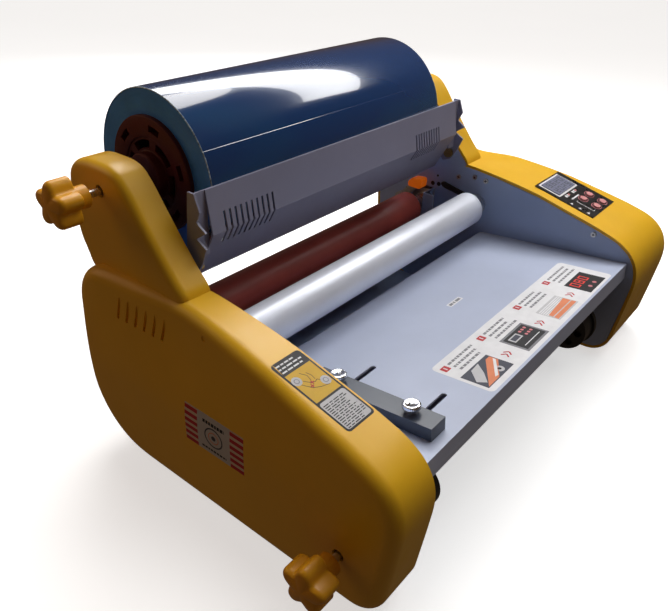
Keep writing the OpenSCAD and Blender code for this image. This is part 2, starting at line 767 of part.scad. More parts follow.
// Side guide, held in the table's slots by two thumb screws
module guide_bar() {
    color(black) machine() table_frame() difference() {
        translate([guide_x - guide_w / 2, guide_y[0], air]) cube([guide_w, guide_y[1] - guide_y[0], guide_h]);
        for (y = slot_ys) translate([guide_x, y, -1]) cylinder(r = 2.5 + run_fit, h = guide_h + 3);
    }
}
module guide_nuts() {
    color(steel) machine() table_frame() for (y = slot_ys) translate([guide_x, y, -sheet_t - air - 4])
        difference() {
            cylinder(r = 6, h = 4, $fn = 6);
            translate([0, 0, -1]) cylinder(r = 2.5 + run_fit, h = 6);
        }
}
module thumbscrew(y) {
    table_frame() translate([guide_x, y, 0]) difference() {
        union() {
            translate([0, 0, air + guide_h + 0.1]) cylinder(r = thumb_r, h = 7);
            translate([0, 0, air + guide_h + 7]) cylinder(r1 = thumb_r, r2 = thumb_r - 1.5, h = 1.5);
            translate([0, 0, -12]) cylinder(r = 2.5, h = guide_h + 14);
        }
        translate([0, 0, air + guide_h + 4]) cylinder(r = 3.2, h = 8, $fn = 6);
    }
}
module front_thumbscrew() { color(steel) machine() thumbscrew(slot_ys[0]); }
module rear_thumbscrew() { color(steel) machine() thumbscrew(slot_ys[1]); }

module button_outline(grow) {
    for (x = [-1, 1]) translate([x * button_oval / 2, 0]) circle(r = button_r + grow);
    square([button_oval, 2 * (button_r + grow)], center = true);
}
module button(i) {
    color([0.85, 0.3, 0.36]) machine() panel_frame() translate([button_xy[i][0], button_xy[i][1], -7.5])
        union() {
            linear_extrude(height = 7.5 + panel_t + button_rise) button_outline(0);
            linear_extrude(height = 1) button_outline(button_flange);
        }
}
module button_up() { button(0); }
module button_down() { button(1); }
module button_mode() { button(2); }
module button_run() { button(3); }

left_side_plate();
right_side_plate();
left_cover();
right_cover();
base_pan();
cross_rails();
feet();
feed_table();
table_brackets();
control_plate();
display_window();
indicator_lamps();
control_board();
power_board();
gear_motor();
roller_bearings();
idler_shaft();
heater_rods();
power_inlet();
power_switch();
tension_studs();
plate_screws();
guard_pivot_screws();
drive_belt();
film_roll();
film_core();
core_chucks();
upper_supply_shaft();
upper_collar();
upper_knob();
lower_supply_shaft();
lower_chucks();
lower_collar();
lower_knob();
idler_roller();
pressure_blocks();
upper_nip_core();
upper_nip_sleeve();
upper_nip_gear();
lower_nip_core();
lower_nip_sleeve();
lower_nip_gear();
drive_pulley();
upper_pull_shaft();
upper_pull_sleeve();
lower_pull_shaft();
lower_pull_sleeve();
pull_pulley();
motor_pinion();
heat_guard();
cam_shaft();
lever_grip();
guide_bar();
guide_nuts();
front_thumbscrew();
rear_thumbscrew();
button_up();
button_down();
button_mode();
button_run();
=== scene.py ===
"""Looks for the desktop roll laminator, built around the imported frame. +Z is up, +Y is the back."""
import math
import random
import bpy
import bmesh
from mathutils import Matrix, Vector
from mathutils.bvhtree import BVHTree


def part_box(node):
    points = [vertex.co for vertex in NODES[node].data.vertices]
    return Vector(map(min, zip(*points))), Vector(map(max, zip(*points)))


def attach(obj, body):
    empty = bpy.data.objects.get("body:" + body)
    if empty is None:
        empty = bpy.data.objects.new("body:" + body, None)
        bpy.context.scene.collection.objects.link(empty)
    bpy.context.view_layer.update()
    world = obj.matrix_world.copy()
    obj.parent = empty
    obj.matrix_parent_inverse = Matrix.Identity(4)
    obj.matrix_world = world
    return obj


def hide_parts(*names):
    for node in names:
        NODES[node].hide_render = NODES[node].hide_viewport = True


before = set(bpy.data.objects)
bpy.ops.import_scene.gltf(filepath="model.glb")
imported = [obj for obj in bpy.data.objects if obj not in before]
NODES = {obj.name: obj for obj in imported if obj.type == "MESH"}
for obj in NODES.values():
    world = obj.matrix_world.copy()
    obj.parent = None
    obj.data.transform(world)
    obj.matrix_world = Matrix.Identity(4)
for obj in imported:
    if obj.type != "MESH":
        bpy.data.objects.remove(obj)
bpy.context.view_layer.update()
SCENE = bpy.context.scene
MM = 0.001

# ---------------- frame
# Pieces are laid out in millimetres: x from the middle between the side plates, y so that the
# housings' noses are at NOSE_Y, z from the floor.
NOSE_Y = -189.0
HALF_W = 220.0          # from the middle to a side plate's inner face
plate_l, plate_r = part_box("left_side_plate"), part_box("right_side_plate")
ORIGIN = Vector(((plate_l[1].x + plate_r[0].x) / 2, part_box("left_cover")[0].y - NOSE_Y * MM, 0))


def at(x, y, z):
    """A point given in layout millimetres, in the frame's metres."""
    return ORIGIN + Vector((x, y, z)) * MM


def middle_of(node):
    """The middle of a node's box, in layout millimetres."""
    lo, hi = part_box(node)
    return ((lo + hi) / 2 - ORIGIN) / MM


def axis_of(node):
    """The middle of a node's box, as layout (y, z)."""
    mid = middle_of(node)
    return mid.y, mid.z


def span_x(node):
    lo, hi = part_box(node)
    return (lo.x - ORIGIN.x) / MM, (hi.x - ORIGIN.x) / MM


def radius_of(node):
    """Half the height of a node's box, in millimetres."""
    lo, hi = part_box(node)
    return (hi.z - lo.z) / 2 / MM


# ---------------- camera
# Fitted to the photograph's straight edges and ellipses. Angles in degrees, lens in millimetres.
CAMERA_AT = at(-550.6, -347.4, 492.6)
HEADING, PITCH, ROLL = 51.85, -31.0, 1.99
FOCAL, SENSOR = 36.76, 36.0


def make_camera():
    h, p, r = (math.radians(v) for v in (HEADING, PITCH, ROLL))
    forward = Vector((math.sin(h) * math.cos(p), math.cos(h) * math.cos(p), math.sin(p)))
    level = Vector((math.cos(h), -math.sin(h), 0))
    up = level.cross(forward)
    right = level * math.cos(r) + up * math.sin(r)
    up = up * math.cos(r) - level * math.sin(r)
    data = bpy.data.cameras.new("camera")
    data.lens, data.sensor_width = FOCAL, SENSOR
    data.clip_start, data.clip_end = 0.01, 50
    cam = link_object("camera", data)
    turn = Matrix((right, up, -forward)).transposed().to_4x4()
    cam.matrix_world = Matrix.Translation(CAMERA_AT) @ turn
    SCENE.camera = cam


# ---------------- materials
class Shader:
    """A Principled material and short names for the nodes that vary it."""

    def __init__(self, name, color, rough=0.5, metallic=0.0, specular=0.5):
        self.mat = bpy.data.materials.new(name)
        self.mat.use_nodes = True
        self.tree = self.mat.node_tree
        self.bsdf = self.tree.nodes["Principled BSDF"]
        self.color = color
        self.rough = rough
        self.set("Base Color", (*color, 1))
        self.set("Roughness", rough)
        self.set("Metallic", metallic)
        self.set("Specular IOR Level", specular)
        self.coord = self.tree.nodes.new("ShaderNodeTexCoord").outputs["Object"]
        self.normal = None

    def set(self, socket, value):
        self.bsdf.inputs[socket].default_value = value

    def link(self, a, b):
        self.tree.links.new(a, b)

    def node(self, kind, inputs):
        """A new node with its inputs set, each to a value or linked to a socket."""
        node = self.tree.nodes.new("ShaderNode" + kind)
        for key, value in inputs.items():
            if isinstance(value, bpy.types.NodeSocket):
                self.link(value, node.inputs[key])
            else:
                node.inputs[key].default_value = value
        return node

    def noise(self, scale, detail=4.0, stretch=(1, 1, 1), rough=0.55):
        place = self.node("Mapping", {"Scale": stretch, "Vector": self.coord}).outputs["Vector"]
        return self.node("TexNoise", {"Scale": scale, "Detail": detail, "Roughness": rough,
                                      "Vector": place}).outputs["Fac"]

    def ranged(self, value, lo, hi, low_in=0.3, high_in=0.7):
        return self.node("MapRange", {"From Min": low_in, "From Max": high_in, "To Min": lo, "To Max": hi,
                                      "Value": value}).outputs["Result"]

    def mix(self, value, a, b):
        node = self.tree.nodes.new("ShaderNodeMix")
        node.data_type = "RGBA"
        for key, c in (("A", a), ("B", b)):
            socket = [s for s in node.inputs if s.name == key and s.type == "RGBA"][0]
            if isinstance(c, bpy.types.NodeSocket):
                self.link(c, socket)
            else:
                socket.default_value = (*c, 1)
        self.link(value, node.inputs["Factor"])
        return [s for s in node.outputs if s.type == "RGBA"][0]

    def mottle(self, scale, amount, stretch=(1, 1, 1)):
        """Colour that drifts lighter and darker over the surface."""
        dark = tuple(c * (1 - amount) for c in self.color)
        light = tuple(min(1, c * (1 + amount)) for c in self.color)
        out = self.mix(self.ranged(self.noise(scale, 5, stretch), 0, 1), dark, light)
        self.link(out, self.bsdf.inputs["Base Color"])
        return self

    def vary_rough(self, scale, amount, stretch=(1, 1, 1)):
        out = self.ranged(self.noise(scale, 5, stretch), self.rough - amount, self.rough + amount)
        self.link(out, self.bsdf.inputs["Roughness"])
        return self

    def bump(self, height, distance, strength=1.0):
        inputs = {"Strength": strength, "Distance": distance, "Height": height}
        if self.normal is not None:
            inputs["Normal"] = self.normal
        self.normal = self.node("Bump", inputs).outputs["Normal"]
        self.link(self.normal, self.bsdf.inputs["Normal"])
        return self

    def grain(self, scale, distance, strength=0.5, stretch=(1, 1, 1)):
        return self.bump(self.noise(scale, 3, stretch), distance, strength)

    def glow(self, color, strength):
        self.set("Emission Color", (*color, 1))
        self.set("Emission Strength", strength)


MAT = {}


def add_material(key, name, color, rough, mottle, vary=None, grain=None, **kinds):
    """A material from its colour, its roughness and the noise that varies colour, roughness and surface.
    Without a name it's named by its key."""
    s = Shader(name or key, color, rough, **kinds)
    s.mottle(*mottle)
    if vary:
        s.vary_rough(*vary)
    if grain:
        s.grain(*grain)
    MAT[key] = s.mat
    return s


def moulded(key, name, color, rough, mottle=0.05):
    return add_material(key, name, color, rough, (9, mottle), (30, 0.05), (1600, 0.00004, 0.35))


def painted(key, name, color, rough):
    add_material(key, name, color, rough, (14, 0.045), (60, 0.04), (2600, 0.00006, 0.35), specular=0.45)


def make_film_material():
    """The film's barrel: glossy under a clear coat, with faint lengthwise ripples in the winding."""
    s = Shader("film_barrel", (0.004, 0.058, 0.19), 0.16, specular=0.6)
    tone = s.ranged(s.noise(3.2, 3, (0.5, 1.3, 1.3)), 0, 1, 0.42, 0.72)
    s.link(s.mix(tone, (0.004, 0.042, 0.155), (0.006, 0.13, 0.25)), s.bsdf.inputs["Base Color"])
    s.grain(14, 0.0006, 0.30, (0.25, 1.6, 1.6)).grain(60, 0.00010, 0.35, (0.5, 1.2, 1.2))
    s.set("Coat Weight", 1.0)
    s.set("Coat Roughness", 0.03)
    MAT["film"] = s.mat


def make_materials():
    housing = moulded("housing", "housing_yellow", (0.80, 0.45, 0.016), 0.36)
    housing.grain(90, 0.0003, 0.10)
    knob = moulded("knob", "knob_yellow", (0.78, 0.36, 0.012), 0.34, 0.06)
    for s, weight in ((housing, 0.06), (knob, 0.08)):
        s.set("Subsurface Weight", weight)
        s.set("Subsurface Radius", (0.004, 0.002, 0.0005))
    moulded("button", "button_pink", (0.66, 0.27, 0.27), 0.45, 0.08)
    moulded("gear", "nylon", (0.62, 0.60, 0.52), 0.42, 0.04)
    # The grip's glow is painted light: it brightens the grip as if lit, though it sits in the guard's shade
    # and is no lamp.
    moulded("grip", "grip_orange_painted_glow", (1.0, 0.22, 0.01), 0.32).glow((1.0, 0.17, 0.005), 0.22)
    painted("side_plate", "plate_grey", (0.39, 0.50, 0.74), 0.44)
    painted("table", "table_grey", (0.43, 0.48, 0.62), 0.36)
    painted("guard", "guard_grey", (0.265, 0.27, 0.37), 0.42)
    painted("motor", "motor_zinc", (0.30, 0.30, 0.31), 0.35)
    make_film_material()
    add = add_material
    # Turned metal and the idler have fine rings round the X axis.
    add("steel", "turned_steel", (0.62, 0.62, 0.63), 0.28, (25, 0.06), (240, 0.07, (6, 0.3, 0.3)),
        (900, 0.00001, 0.4, (8, 0.2, 0.2)), metallic=1.0)
    add("idler_silver", None, (0.80, 0.84, 0.94), 0.34, (20, 0.03), (150, 0.05, (0.4, 4, 4)),
        (1400, 0.00001, 0.4, (5, 0.3, 0.3)), metallic=0.25)
    add("chrome", None, (0.90, 0.91, 0.93), 0.20, (300, 0.05), (500, 0.05), metallic=1.0)
    add("zinc", None, (0.52, 0.52, 0.53), 0.36, (160, 0.12), (120, 0.09), (700, 0.00002, 0.3),
        metallic=1.0)
    add("brass", None, (0.42, 0.29, 0.10), 0.34, (200, 0.15), (200, 0.08), metallic=1.0)
    add("silicone", None, (0.27, 0.045, 0.034), 0.40, (18, 0.16), (40, 0.08), (500, 0.00003, 0.3))
    add("black_rubber", None, (0.018, 0.018, 0.019), 0.62, (60, 0.2), (80, 0.1),
        (900, 0.00006, 0.5))
    add("card", "wound_card", (0.30, 0.20, 0.11), 0.85, (220, 0.12, (0.3, 1, 1)), None, (900, 0.0001, 0.5))
    add("chuck", "chuck_red", (0.085, 0.010, 0.008), 0.55, (40, 0.12), (60, 0.06), (900, 0.00004, 0.3),
        specular=0.3)
    add("black_plastic", None, (0.012, 0.012, 0.013), 0.40, (70, 0.2), (90, 0.06),
        (1500, 0.00004, 0.4))
    add("panel", "panel_black", (0.008, 0.008, 0.009), 0.30, (60, 0.2), (120, 0.05), (2500, 0.00002, 0.2))
    add("display", "display_glass", (0.22, 0.235, 0.33), 0.12, (120, 0.1)).set("Coat Weight", 0.6)
    add("lamp", "lamp_pink", (0.72, 0.30, 0.29), 0.2, (200, 0.1))
    add("circuit_board", "circuit_green", (0.015, 0.11, 0.045), 0.35, (300, 0.2), (300, 0.1))
    add("guide", "guide_black", (0.028, 0.040, 0.066), 0.36, (25, 0.06), (60, 0.03), (2600, 0.00001, 0.2),
        specular=0.9)
    add("film_edge", None, (0.07, 0.28, 0.80), 0.46, (30, 0.12), (90, 0.07), specular=0.35)
    add("film_rim", None, (0.36, 0.46, 0.62), 0.30, (400, 0.9, (0.4, 1, 1)), (300, 0.15),
        (500, 0.0002, 0.8))
    for key, color, rough in (
            ("white", (0.72, 0.72, 0.74), 0.50), ("black", (0.012, 0.012, 0.014), 0.48),
            ("red", (0.45, 0.022, 0.03), 0.52), ("yellow", (0.62, 0.37, 0.012), 0.48),
            ("grey", (0.20, 0.20, 0.22), 0.52), ("slate", (0.05, 0.055, 0.08), 0.48),
            ("salmon", (0.68, 0.22, 0.10), 0.54), ("pale", (0.50, 0.50, 0.52), 0.52),
            ("pink", (0.60, 0.20, 0.22), 0.54), ("cream", (0.62, 0.50, 0.40), 0.54)):
        add(key, "print_" + key, color, rough, (90, 0.05), (150, 0.05), specular=0.3)
    # The printed digits glow: painted light, as if the pictured display were lit.
    add("digit", "digit_red_painted_glow", (0.55, 0.03, 0.02), 0.4, (90, 0.05)).glow((1, 0.06, 0.03), 0.25)
    pale = (0.80, 0.80, 0.80)
    add("floor", "floor_pale", pale, 0.75, (3, 0.012), None, (300, 0.0001, 0.1)).glow((1, 1, 1), 0.6)
    add("backdrop", "backdrop_pale", pale, 0.9, (0.5, 0.01)).glow((1, 1, 1), 0.9)


make_materials()


# ---------------- mesh helpers
def edit_mesh(mesh, *steps):
    """Run bmesh steps on a mesh."""
    bm = bmesh.new()
    bm.from_mesh(mesh)
    for step in steps:
        step(bm)
    bm.to_mesh(mesh)
    bm.free()


def face_outward(bm):
    bmesh.ops.recalc_face_normals(bm, faces=bm.faces)


def link_object(name, data):
    obj = bpy.data.objects.new(name, data)
    SCENE.collection.objects.link(obj)
    return obj


def new_mesh(name, data):
    mesh = bpy.data.meshes.new(name)
    mesh.from_pydata([tuple(v) for v in data[0]], [], data[1])
    return mesh


def add_object(name, data, materials, body, face_slots=None, sharp=35):
    """A finished piece from its (verts, faces); body is None for the stage."""
    mesh = new_mesh(name, data)
    for key in [materials] if isinstance(materials, str) else materials:
        mesh.materials.append(MAT[key])
    if face_slots:
        mesh.polygons.foreach_set("material_index", face_slots)
    mesh.validate()
    obj = link_object(name, mesh)
    edit_mesh(mesh, face_outward)
    shade(mesh, sharp)
    if body:
        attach(obj, body)
    return obj


def shade(mesh, sharp):
    mesh.polygons.foreach_set("use_smooth", [True] * len(mesh.polygons))
    mesh.set_sharp_from_angle(angle=math.radians(sharp))
    mesh.update()


def bands(n, pairs):
    """Quads between each pair of rings of n points."""
    return [(a * n + i, a * n + (i + 1) % n, b * n + (i + 1) % n, b * n + i)
            for a, b in pairs for i in range(n)]


def loft(rings, close_start=True):
    """Quads between rings of equal length; a closed end is a fan to the ring's middle."""
    n = len(rings[0])
    verts = [p for ring in rings for p in ring]
    faces = bands(n, [(k, k + 1) for k in range(len(rings) - 1)])
    last = (len(rings) - 1) * n
    for base in (0, last) if close_start else (last,):
        verts.append(sum(verts[base:base + n], Vector((0, 0, 0))) / n)
        faces += [(base + i, base + (i + 1) % n, len(verts) - 1) for i in range(n)]
    return verts, faces


def closed_loft(rings):
    """A ring of rings, such as a tube's outside, end, bore and other end."""
    k = len(rings)
    return [p for ring in rings for p in ring], bands(len(rings[0]), [(a, (a + 1) % k) for a in range(k)])


def joined(parts):
    """Several (verts, faces) meshes as one."""
    verts, faces = [], []
    for v, f in parts:
        faces += [tuple(i + len(verts) for i in face) for face in f]
        verts += v
    return verts, faces


def around(count):
    """Angles of evenly spaced points round a circle."""
    return [2 * math.pi * i / count for i in range(count)]


def lathe_x(profile, y, z, count):
    """Rings round an axis along X, one for each (x, radius) pair of the profile."""
    return [[at(x, y + r * math.sin(a), z + r * math.cos(a)) for a in around(count)] for x, r in profile]


def arc(cx, cy, radius, start, end, steps):
    """Points of an arc between two angles in degrees."""
    turns = [math.radians(start + (end - start) * i / steps) for i in range(steps + 1)]
    return [(cx + radius * math.cos(a), cy + radius * math.sin(a)) for a in turns]


def disc(cx, cy, r, steps=24, squash=1.0):
    return [(cx + r * math.cos(a), cy + r * squash * math.sin(a)) for a in around(steps)]


def quarter(steps):
    """Angles from 0 to 90 degrees, for a rounded edge."""
    return [math.radians(90 * k / steps) for k in range(steps + 1)]


def soften(obj, width):
    """A small bevel on a CAD node's edges, so that they catch the light."""
    mod = obj.modifiers.new("edges", "BEVEL")
    mod.width, mod.segments = width * MM, 2
    mod.limit_method, mod.angle_limit = "ANGLE", math.radians(35)
    mod.harden_normals = False
    mod.use_clamp_overlap = True


def paint(obj, material):
    obj.data.materials.clear()
    obj.data.materials.append(MAT[material])


def dress(node, material, bevel, sharp=32):
    """Give a CAD node its material and softened edges."""
    obj = NODES[node]
    paint(obj, material)
    for poly in obj.data.polygons:
        poly.material_index = 0
    shade(obj.data, sharp)
    if bevel:
        soften(obj, bevel)


# ---------------- housings
def smooth_step(v):
    v = max(0.0, min(1.0, v))
    return v * v * (3 - 2 * v)


# Side outlines as (y, z), counter-clockwise from the front of the neck.
FRONT_R, REAR_R, SHOULDER_R, SHOULDER_BULGE = 28, 78, 35, 4
REAR_Y, FLOOR_GAP, TOP_Z = 182, 8, 200
BODY_OUTLINE = [(43.6, 201), (7, 197), (-25, 192.5), (-55, 187), (-62, 185.2), (-95, 176.74), (-124, 169.3),
                (-131, 167.5), (-159, 158.5), (-175, 148), (-184, 136), (-188.5, 122), (-188.9, 107),
                (-187, 90), (-185, 73), (-181.5, 46)]
BODY_OUTLINE += arc(NOSE_Y + 9 + FRONT_R, FLOOR_GAP + FRONT_R, FRONT_R, 190, 270, 5)
BODY_OUTLINE += arc(REAR_Y - REAR_R, FLOOR_GAP + REAR_R, REAR_R, -90, 0, 8)
BODY_OUTLINE += arc(REAR_Y + SHOULDER_BULGE - SHOULDER_R, TOP_Z - SHOULDER_R, SHOULDER_R, 0, 90, 4)
ARM_OUTLINE = [(135, 295.8), (122, 292.8), (109.5, 280.5), (99.5, 266.5), (79, 240), (60, 217),
               (43.6, 201), (56, 172), (100, 160), (150, 168), (179, 191), (184, 204), (189.5, 214),
               (192, 224), (194.3, 245), (194.3, 270), (191.5, 281), (186, 287.5), (179, 292), (165, 295.8)]


def smoothed(points, per_corner=6):
    """The outline with each corner turned by a curve between its edges' middles."""
    out, n = [], len(points)
    for i in range(n):
        p0, p, p1 = (Vector(points[(i + k) % n]) for k in (-1, 0, 1))
        a, b = p0 - p, p1 - p
        t = min(a.length, b.length) / 2
        start, end = p + a.normalized() * t, p + b.normalized() * t
        for k in range(per_corner):
            f = k / per_corner
            out.append(start * (1 - f) ** 2 + p * 2 * f * (1 - f) + end * f * f)
    return out


def resampled(points, step):
    """Evenly spaced points along a closed outline."""
    edges = [b - a for a, b in zip(points, points[1:] + points[:1])]
    total = sum(edge.length for edge in edges)
    count = int(total / step)
    out, i, passed = [], 0, 0.0
    for k in range(count):
        want = total * k / count
        while passed + edges[i].length < want:
            passed += edges[i].length
            i += 1
        out.append(points[i] + edges[i] * ((want - passed) / edges[i].length))
    return out


def inward(points):
    """Unit normals that point into a counter-clockwise outline."""
    n = len(points)
    out = []
    for i in range(n):
        t = (points[(i + 2) % n] - points[(i - 2) % n]).normalized()
        out.append(Vector((-t.y, t.x)))
    return out


class Lobe:
    """One rounded chunk of a housing: an outline in side view, a depth across, and an edge radius."""

    def __init__(self, outline, depth, edge, middle, step=4.0):
        self.points = resampled(smoothed(outline), step)
        self.normals = inward(self.points)
        self.depth, self.edge, self.middle = depth, edge, Vector(middle)

    def solid(self, side, inset, start, thickness=0.0):
        """Rings from the open side to the outer face, inset evenly, then closed on the middle."""
        r = max(2.0, self.edge - thickness)
        rings = []

        def ring(d, depth_of):
            pts = [p + n * d for p, n in zip(self.points, self.normals)]
            return [at(side * (HALF_W + depth_of(p)), p.x, p.y) for p in pts]

        for k in range(5):
            f = k / 4
            rings.append(ring(inset, lambda p: start + (self.depth(p) - thickness - r - start) * f))
        for a in quarter(8)[1:]:
            rings.append(ring(inset + r * (1 - math.cos(a)),
                              lambda p: self.depth(p) - thickness - r * (1 - math.sin(a))))
        last = [p + n * (inset + r) for p, n in zip(self.points, self.normals)]
        for k in range(1, 12):
            f = k / 12
            pts = [p.lerp(self.middle, f) for p in last]
            rings.append([at(side * (HALF_W + self.depth(p) - thickness), p.x, p.y) for p in pts])
        return loft(rings)


def body_depth(width, taper, waist):
    """A housing's depth at a side-view point: less by taper towards the top and back, and by waist at the
    neck. Each factor runs from 0 to 1 over a stretch in millimetres."""
    def depth(p):
        up = smooth_step((p.y - 95) / 105)
        back = max(0.0, min(1.0, (p.x + 165) / 205)) * (1 - 0.6 * max(0.0, min(1.0, (p.x - 60) / 100)))
        neck = smooth_step((p.y - 165) / 35) * smooth_step((p.x - 15) / 50)
        return width - taper * up * back - waist * neck
    return depth


def temp_object(name, data):
    mesh = new_mesh(name, data)
    edit_mesh(mesh, face_outward)
    return link_object(name, mesh)


def boolean(obj, other, operation):
    """Cut or join the other object, which is used up."""
    mod = obj.modifiers.new("cut", "BOOLEAN")
    mod.operation, mod.solver, mod.object = operation, "EXACT", other
    graph = bpy.context.evaluated_depsgraph_get()
    old, made = obj.data, bpy.data.meshes.new_from_object(obj.evaluated_get(graph))
    obj.modifiers.clear()
    obj.data = made
    bpy.data.meshes.remove(old)
    bpy.data.objects.remove(other, do_unlink=True)


def finish_cut(obj, material, body, slot, sharp, gap, *steps):
    """Clean a mesh that booleans made, and make it a piece."""
    paint(obj, material)
    edit_mesh(obj.data, lambda bm: bmesh.ops.remove_doubles(bm, verts=bm.verts, dist=gap), *steps)
    shade(obj.data, sharp)
    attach(obj, body)


def prism_x(points, x0, x1):
    """A closed prism along X over a (y, z) outline."""
    return loft([[at(x, *p) for p in points] for x in (x0, x1)])


def slot_outline(cy, cz, width, length, lean, steps=8):
    """A round-ended slot; lean turns its top towards the front."""
    c, s = math.cos(math.radians(lean)), math.sin(math.radians(lean))
    pts = []
    for half, start in ((1, 0), (-1, 180)):
        for k in range(steps + 1):
            a = math.radians(start + 180 * k / steps)
            u = width / 2 * math.cos(a)
            v = half * (length - width) / 2 + width / 2 * math.sin(a)
            pts.append((cy + u * c - v * s, cz + u * s + v * c))
    return pts


def make_housing(name, side, body, arm, wall, holes):
    """Outer chunks joined, then the hollow and the holes cut out."""
    shell = temp_object(name, body.solid(side, 0, 0))
    boolean(shell, temp_object("arm", arm.solid(side, 0, 0)), "UNION")
    hollow = temp_object("hollow", body.solid(side, wall, -4, wall))
    boolean(hollow, temp_object("arm_hollow", arm.solid(side, wall, -4, wall)), "UNION")
    boolean(shell, hollow, "DIFFERENCE")
    for hole in holes:
        boolean(shell, temp_object("hole", hole), "DIFFERENCE")
    finish_cut(shell, "housing", "frame", "housing", 28, 0.00002,
               lambda bm: bmesh.ops.dissolve_degenerate(bm, edges=bm.edges, dist=0.00001))
    return shell


VENT_COUNT, VENT_PITCH, VENT_Y, VENT_Z, VENT_RISE, VENT_LEAN = 6, 11.4, 66.0, 170.0, 0.2, 9.0
VENT_SIZE, VENT_DEPTH = (3.2, 22), 1.7
DIMPLE, DIMPLE_R, DIMPLE_DEPTH = (15, 184), 2.6, 0.7
STUD_HOLE_R, WALL = 5.5, 3.5
LEFT_DEPTH = body_depth(50, 15, 0)
RIGHT_DEPTH = body_depth(119.85, 30, 14)
BODY_MIDDLE, ARM_MIDDLE = (0, 104), (128, 232)
OUTSIDE = 390           # farther out than either housing


def make_housings():
    left_body = Lobe(BODY_OUTLINE, LEFT_DEPTH, 12, BODY_MIDDLE)
    left_arm = Lobe(ARM_OUTLINE, lambda p: 30, 8, ARM_MIDDLE)
    right_body = Lobe(BODY_OUTLINE, RIGHT_DEPTH, 14, BODY_MIDDLE)
    right_arm = Lobe(ARM_OUTLINE, lambda p: 42, 10, ARM_MIDDLE)

    def vents(side, depth):
        cuts = []
        for i in range(VENT_COUNT):
            y, z = VENT_Y + VENT_PITCH * i, VENT_Z + VENT_RISE * i
            outer = HALF_W + depth(Vector((y, z)))
            cuts.append(prism_x(slot_outline(y, z, *VENT_SIZE, VENT_LEAN), side * (outer - VENT_DEPTH),
                                side * OUTSIDE))
        return cuts

    def hole(center, r, x0, x1):
        return prism_x(disc(*center, r, 32), x0, x1)

    holes = vents(-1, LEFT_DEPTH)
    holes.append(hole(axis_of("upper_supply_shaft"), STUD_HOLE_R, -275, -235))
    holes.append(hole(axis_of("lower_supply_shaft"), STUD_HOLE_R, -290, -250))
    holes.append(hole(DIMPLE, DIMPLE_R, -HALF_W - LEFT_DEPTH(Vector(DIMPLE)) + DIMPLE_DEPTH, -290))
    left = make_housing("left_housing", -1, left_body, left_arm, WALL, holes)
    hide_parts("left_cover")
    holes = vents(1, RIGHT_DEPTH)
    lo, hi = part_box("power_inlet")
    lo, hi = (lo - ORIGIN) / MM, (hi - ORIGIN) / MM
    back = REAR_Y + 20
    # The inlet's flange sits in a wide recess, and its body in a deeper, narrower one.
    for front, dz, dx in ((REAR_Y, 1, 4), (REAR_Y - 16, -3, -3)):
        outline = [(front, lo.z - dz), (back, lo.z - dz), (back, hi.z + dz), (front, hi.z + dz)]
        holes.append(prism_x(outline, lo.x - dx, hi.x + dx))
    for button in ("up", "down", "mode", "run"):
        holes.append(panel_hole(middle_of("button_" + button)))
    right = make_housing("right_housing", 1, right_body, right_arm, WALL, holes)
    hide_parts("right_cover")
    return left, right


# ---------------- control panel frame
# The plate lies on the body outline's straight stretch between these two (y, z) points.
(SLOPE_Y0, SLOPE_Z0), (SLOPE_Y1, SLOPE_Z1) = (-131, 167.5), (-55, 187)
PANEL_X, PANEL_Y = 270.0, -80.0
PANEL_TILT = math.atan((SLOPE_Z1 - SLOPE_Z0) / (SLOPE_Y1 - SLOPE_Y0))
PANEL_SIN, PANEL_COS = math.sin(PANEL_TILT), math.cos(PANEL_TILT)
PANEL_Z = SLOPE_Z1 + (PANEL_Y - SLOPE_Y1) * math.tan(PANEL_TILT)
BUTTON_HOLE = (5.6, 4.7)              # half its width and half its height


def on_panel(u, v, h):
    """A point on the control plate: u to the right, v up the slope, h above the housing."""
    return at(PANEL_X + u, PANEL_Y + v * PANEL_COS - h * PANEL_SIN, PANEL_Z + v * PANEL_SIN + h * PANEL_COS)


def panel_hole(mid):
    """A cutter for a button's hole, down the panel's normal."""
    dy, dz = mid.y - PANEL_Y, mid.z - PANEL_Z
    u, v = mid.x - PANEL_X, dy * PANEL_COS + dz * PANEL_SIN
    wide, high = BUTTON_HOLE
    return loft([[on_panel(u + wide * math.cos(a), v + high * math.sin(a), h) for a in around(24)]
                 for h in (-12, 6)])


# ---------------- film supply
SEAM_AT, SEAM_STEP = 62.0, 0.35       # the loose end: degrees round the roll, and its height
RIM_R, RIM_STEPS = 0.8, 4
# Each end has END_ROUNDS turns, set back by END_DIP and up to END_RAGGED more, from END_RIM inside the rim.
END_ROUNDS, END_DIP, END_RAGGED, END_RIM = 14, 0.4, 0.35, 1.6


